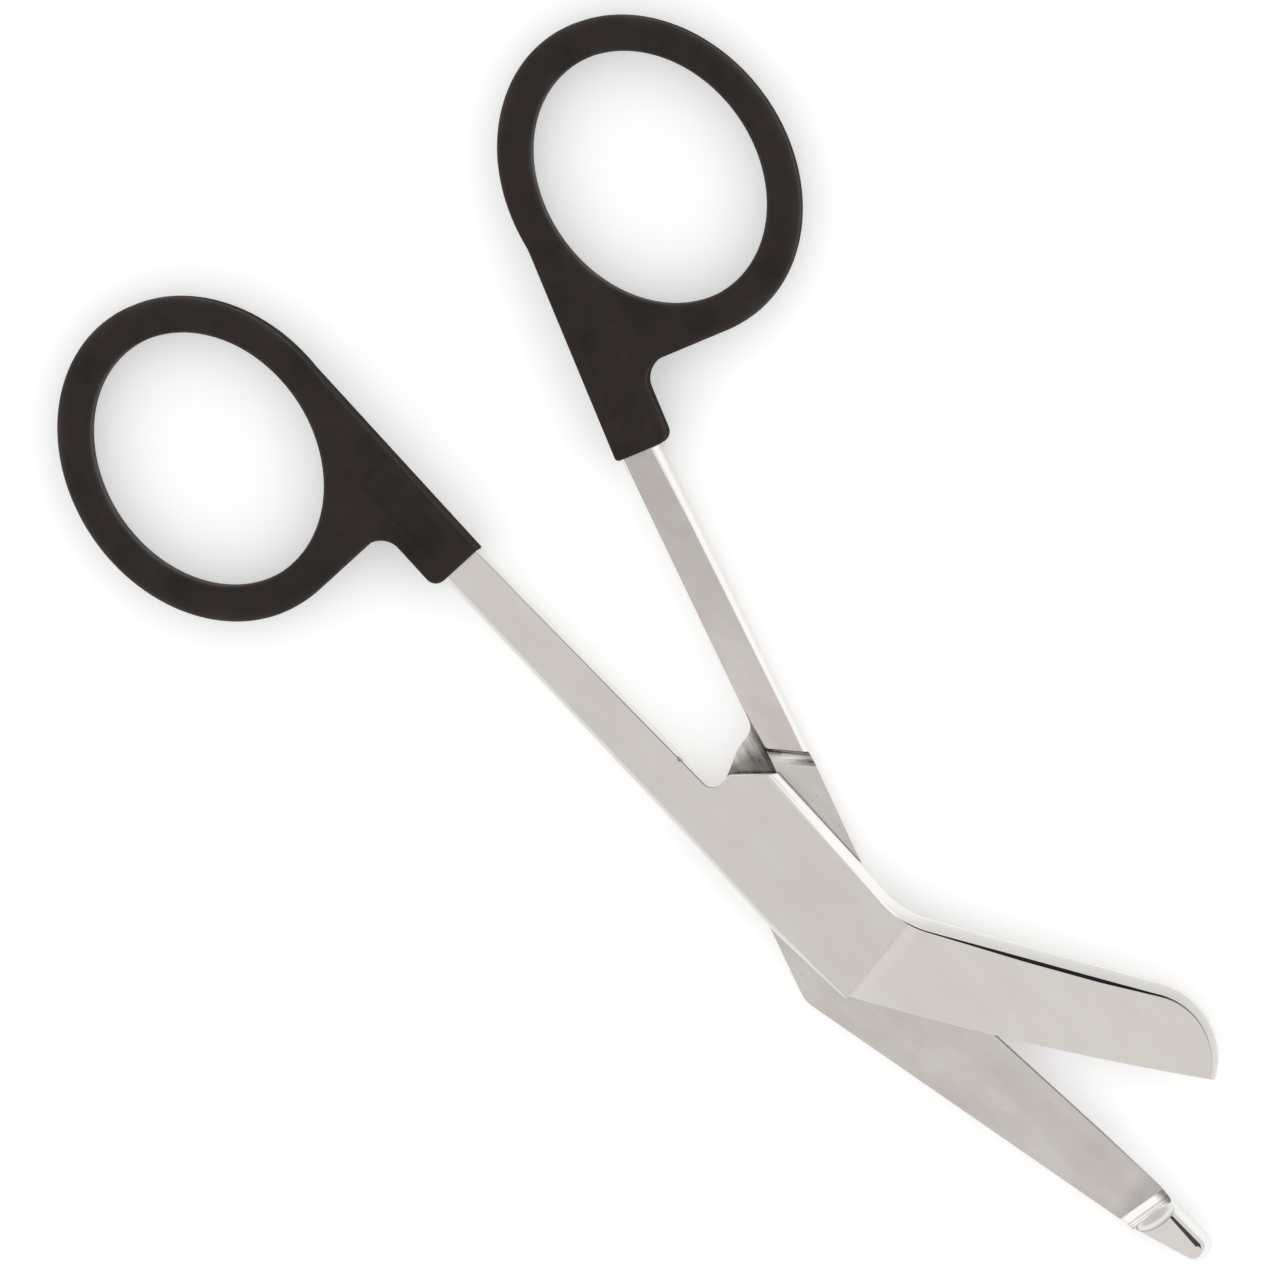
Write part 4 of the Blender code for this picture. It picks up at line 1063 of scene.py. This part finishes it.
def ringHole(handle):
    # The finger hole, flared to both faces.
    steps = fineness["roundSteps"]
    quarter = [math.pi / 2 * step / steps for step in range(steps + 1)]
    flare = [(grip["ringRound"] * (1 - math.cos(a)), grip["ringRound"] * (1 - math.sin(a))) for a in quarter]
    levels = [(-overcut, grip["ringRound"])] + flare
    levels += [(gripThickness - height, wide) for height, wide in reversed(levels)]
    loops = []
    for height, wide in levels:
        points = [ringPoint(handle, grip["holeLength"] + 2 * wide, grip["holeWidth"] + 2 * wide, turn)
                  for turn in circle(fineness["ringSteps"])]
        loops.append([(-point.x, handle["side"] * point.y, height) for point in points])
    return stackedMesh("ringHole", loops, [0] * (len(loops) - 1))


def panelCutter(handle, upper):
    # The sunk panel. Its wall is a soft S from the flat to the panel's floor.
    middle = grip["collarWidth"] / 2
    near = grip["panelStart"]
    far = near + grip["panelLength"]
    mouth = grip["panelMouth"] / 2
    wide = grip["panelWidth"] / 2
    mouthRound = mouth * grip["panelMouthRound"]
    plain = edge(fullRound(0), fullRound(0))
    ends = [(near, middle - mouth, mouthRound), (near, middle + mouth, mouthRound),
            (far, middle + wide, wide), (far, middle - wide, wide)]
    corners = [corner(-back, handle["side"] * out, fillet, plain) for back, out, fillet in ends]
    path = trace(corners if handle["side"] > 0 else corners[::-1])
    loops = []
    steps = fineness["roundSteps"]
    for step in range(steps + 1):
        share = step / steps
        inset = grip["panelFlare"] * (0.5 - share)
        rise = grip["panelDepth"] * (share * share * (3 - 2 * share) - 1)
        loops.append([(p.x, p.y, rise) for p in movedIn(path, [(inset, inset)] * len(path))])
    loops.append([(x, y, overcut) for x, y, z in loops[-1]])
    if upper:
        loops = [[(x, y, gripThickness + z) for x, y, z in loop] for loop in loops]
    else:
        loops = [[(x, y, -z) for x, y, z in loop] for loop in reversed(loops)]
    return stackedMesh("panelCutter", loops, [0] * (len(loops) - 1))


def makeGrip(name, handle):
    side = handle["side"]
    half = handle["half"]
    mesh = plateMesh(name, gripOutline(handle), 0, gripThickness, wallSlot=1, seam=grip["seam"])
    piece = meshObject(name, mesh, [blackPlastic, blackWall])
    cut(piece, ringHole(handle), blackPlastic)
    cut(piece, panelCutter(handle, False), blackPlastic)
    cut(piece, panelCutter(handle, True), blackPlastic)
    mouth = Vector((-half["shankReach"], side * (half["shankOffset"] - handle["overhang"]), 0)) * mm
    turn = Matrix.Rotation(math.radians(-side * handle["toe"]), 4, "Z")
    piece.data.transform(Matrix.Translation(mouth) @ turn)
    return piece


settle(makeGrip("frontGrip", frontGrip), frontTurn, "front_grip", "blunt_half")
settle(makeGrip("rearGrip", rearGrip), rearTurn, "rear_grip", "probe_half")

bpy.context.scene.view_settings.view_transform = "Standard"
bpy.context.view_layer.update()
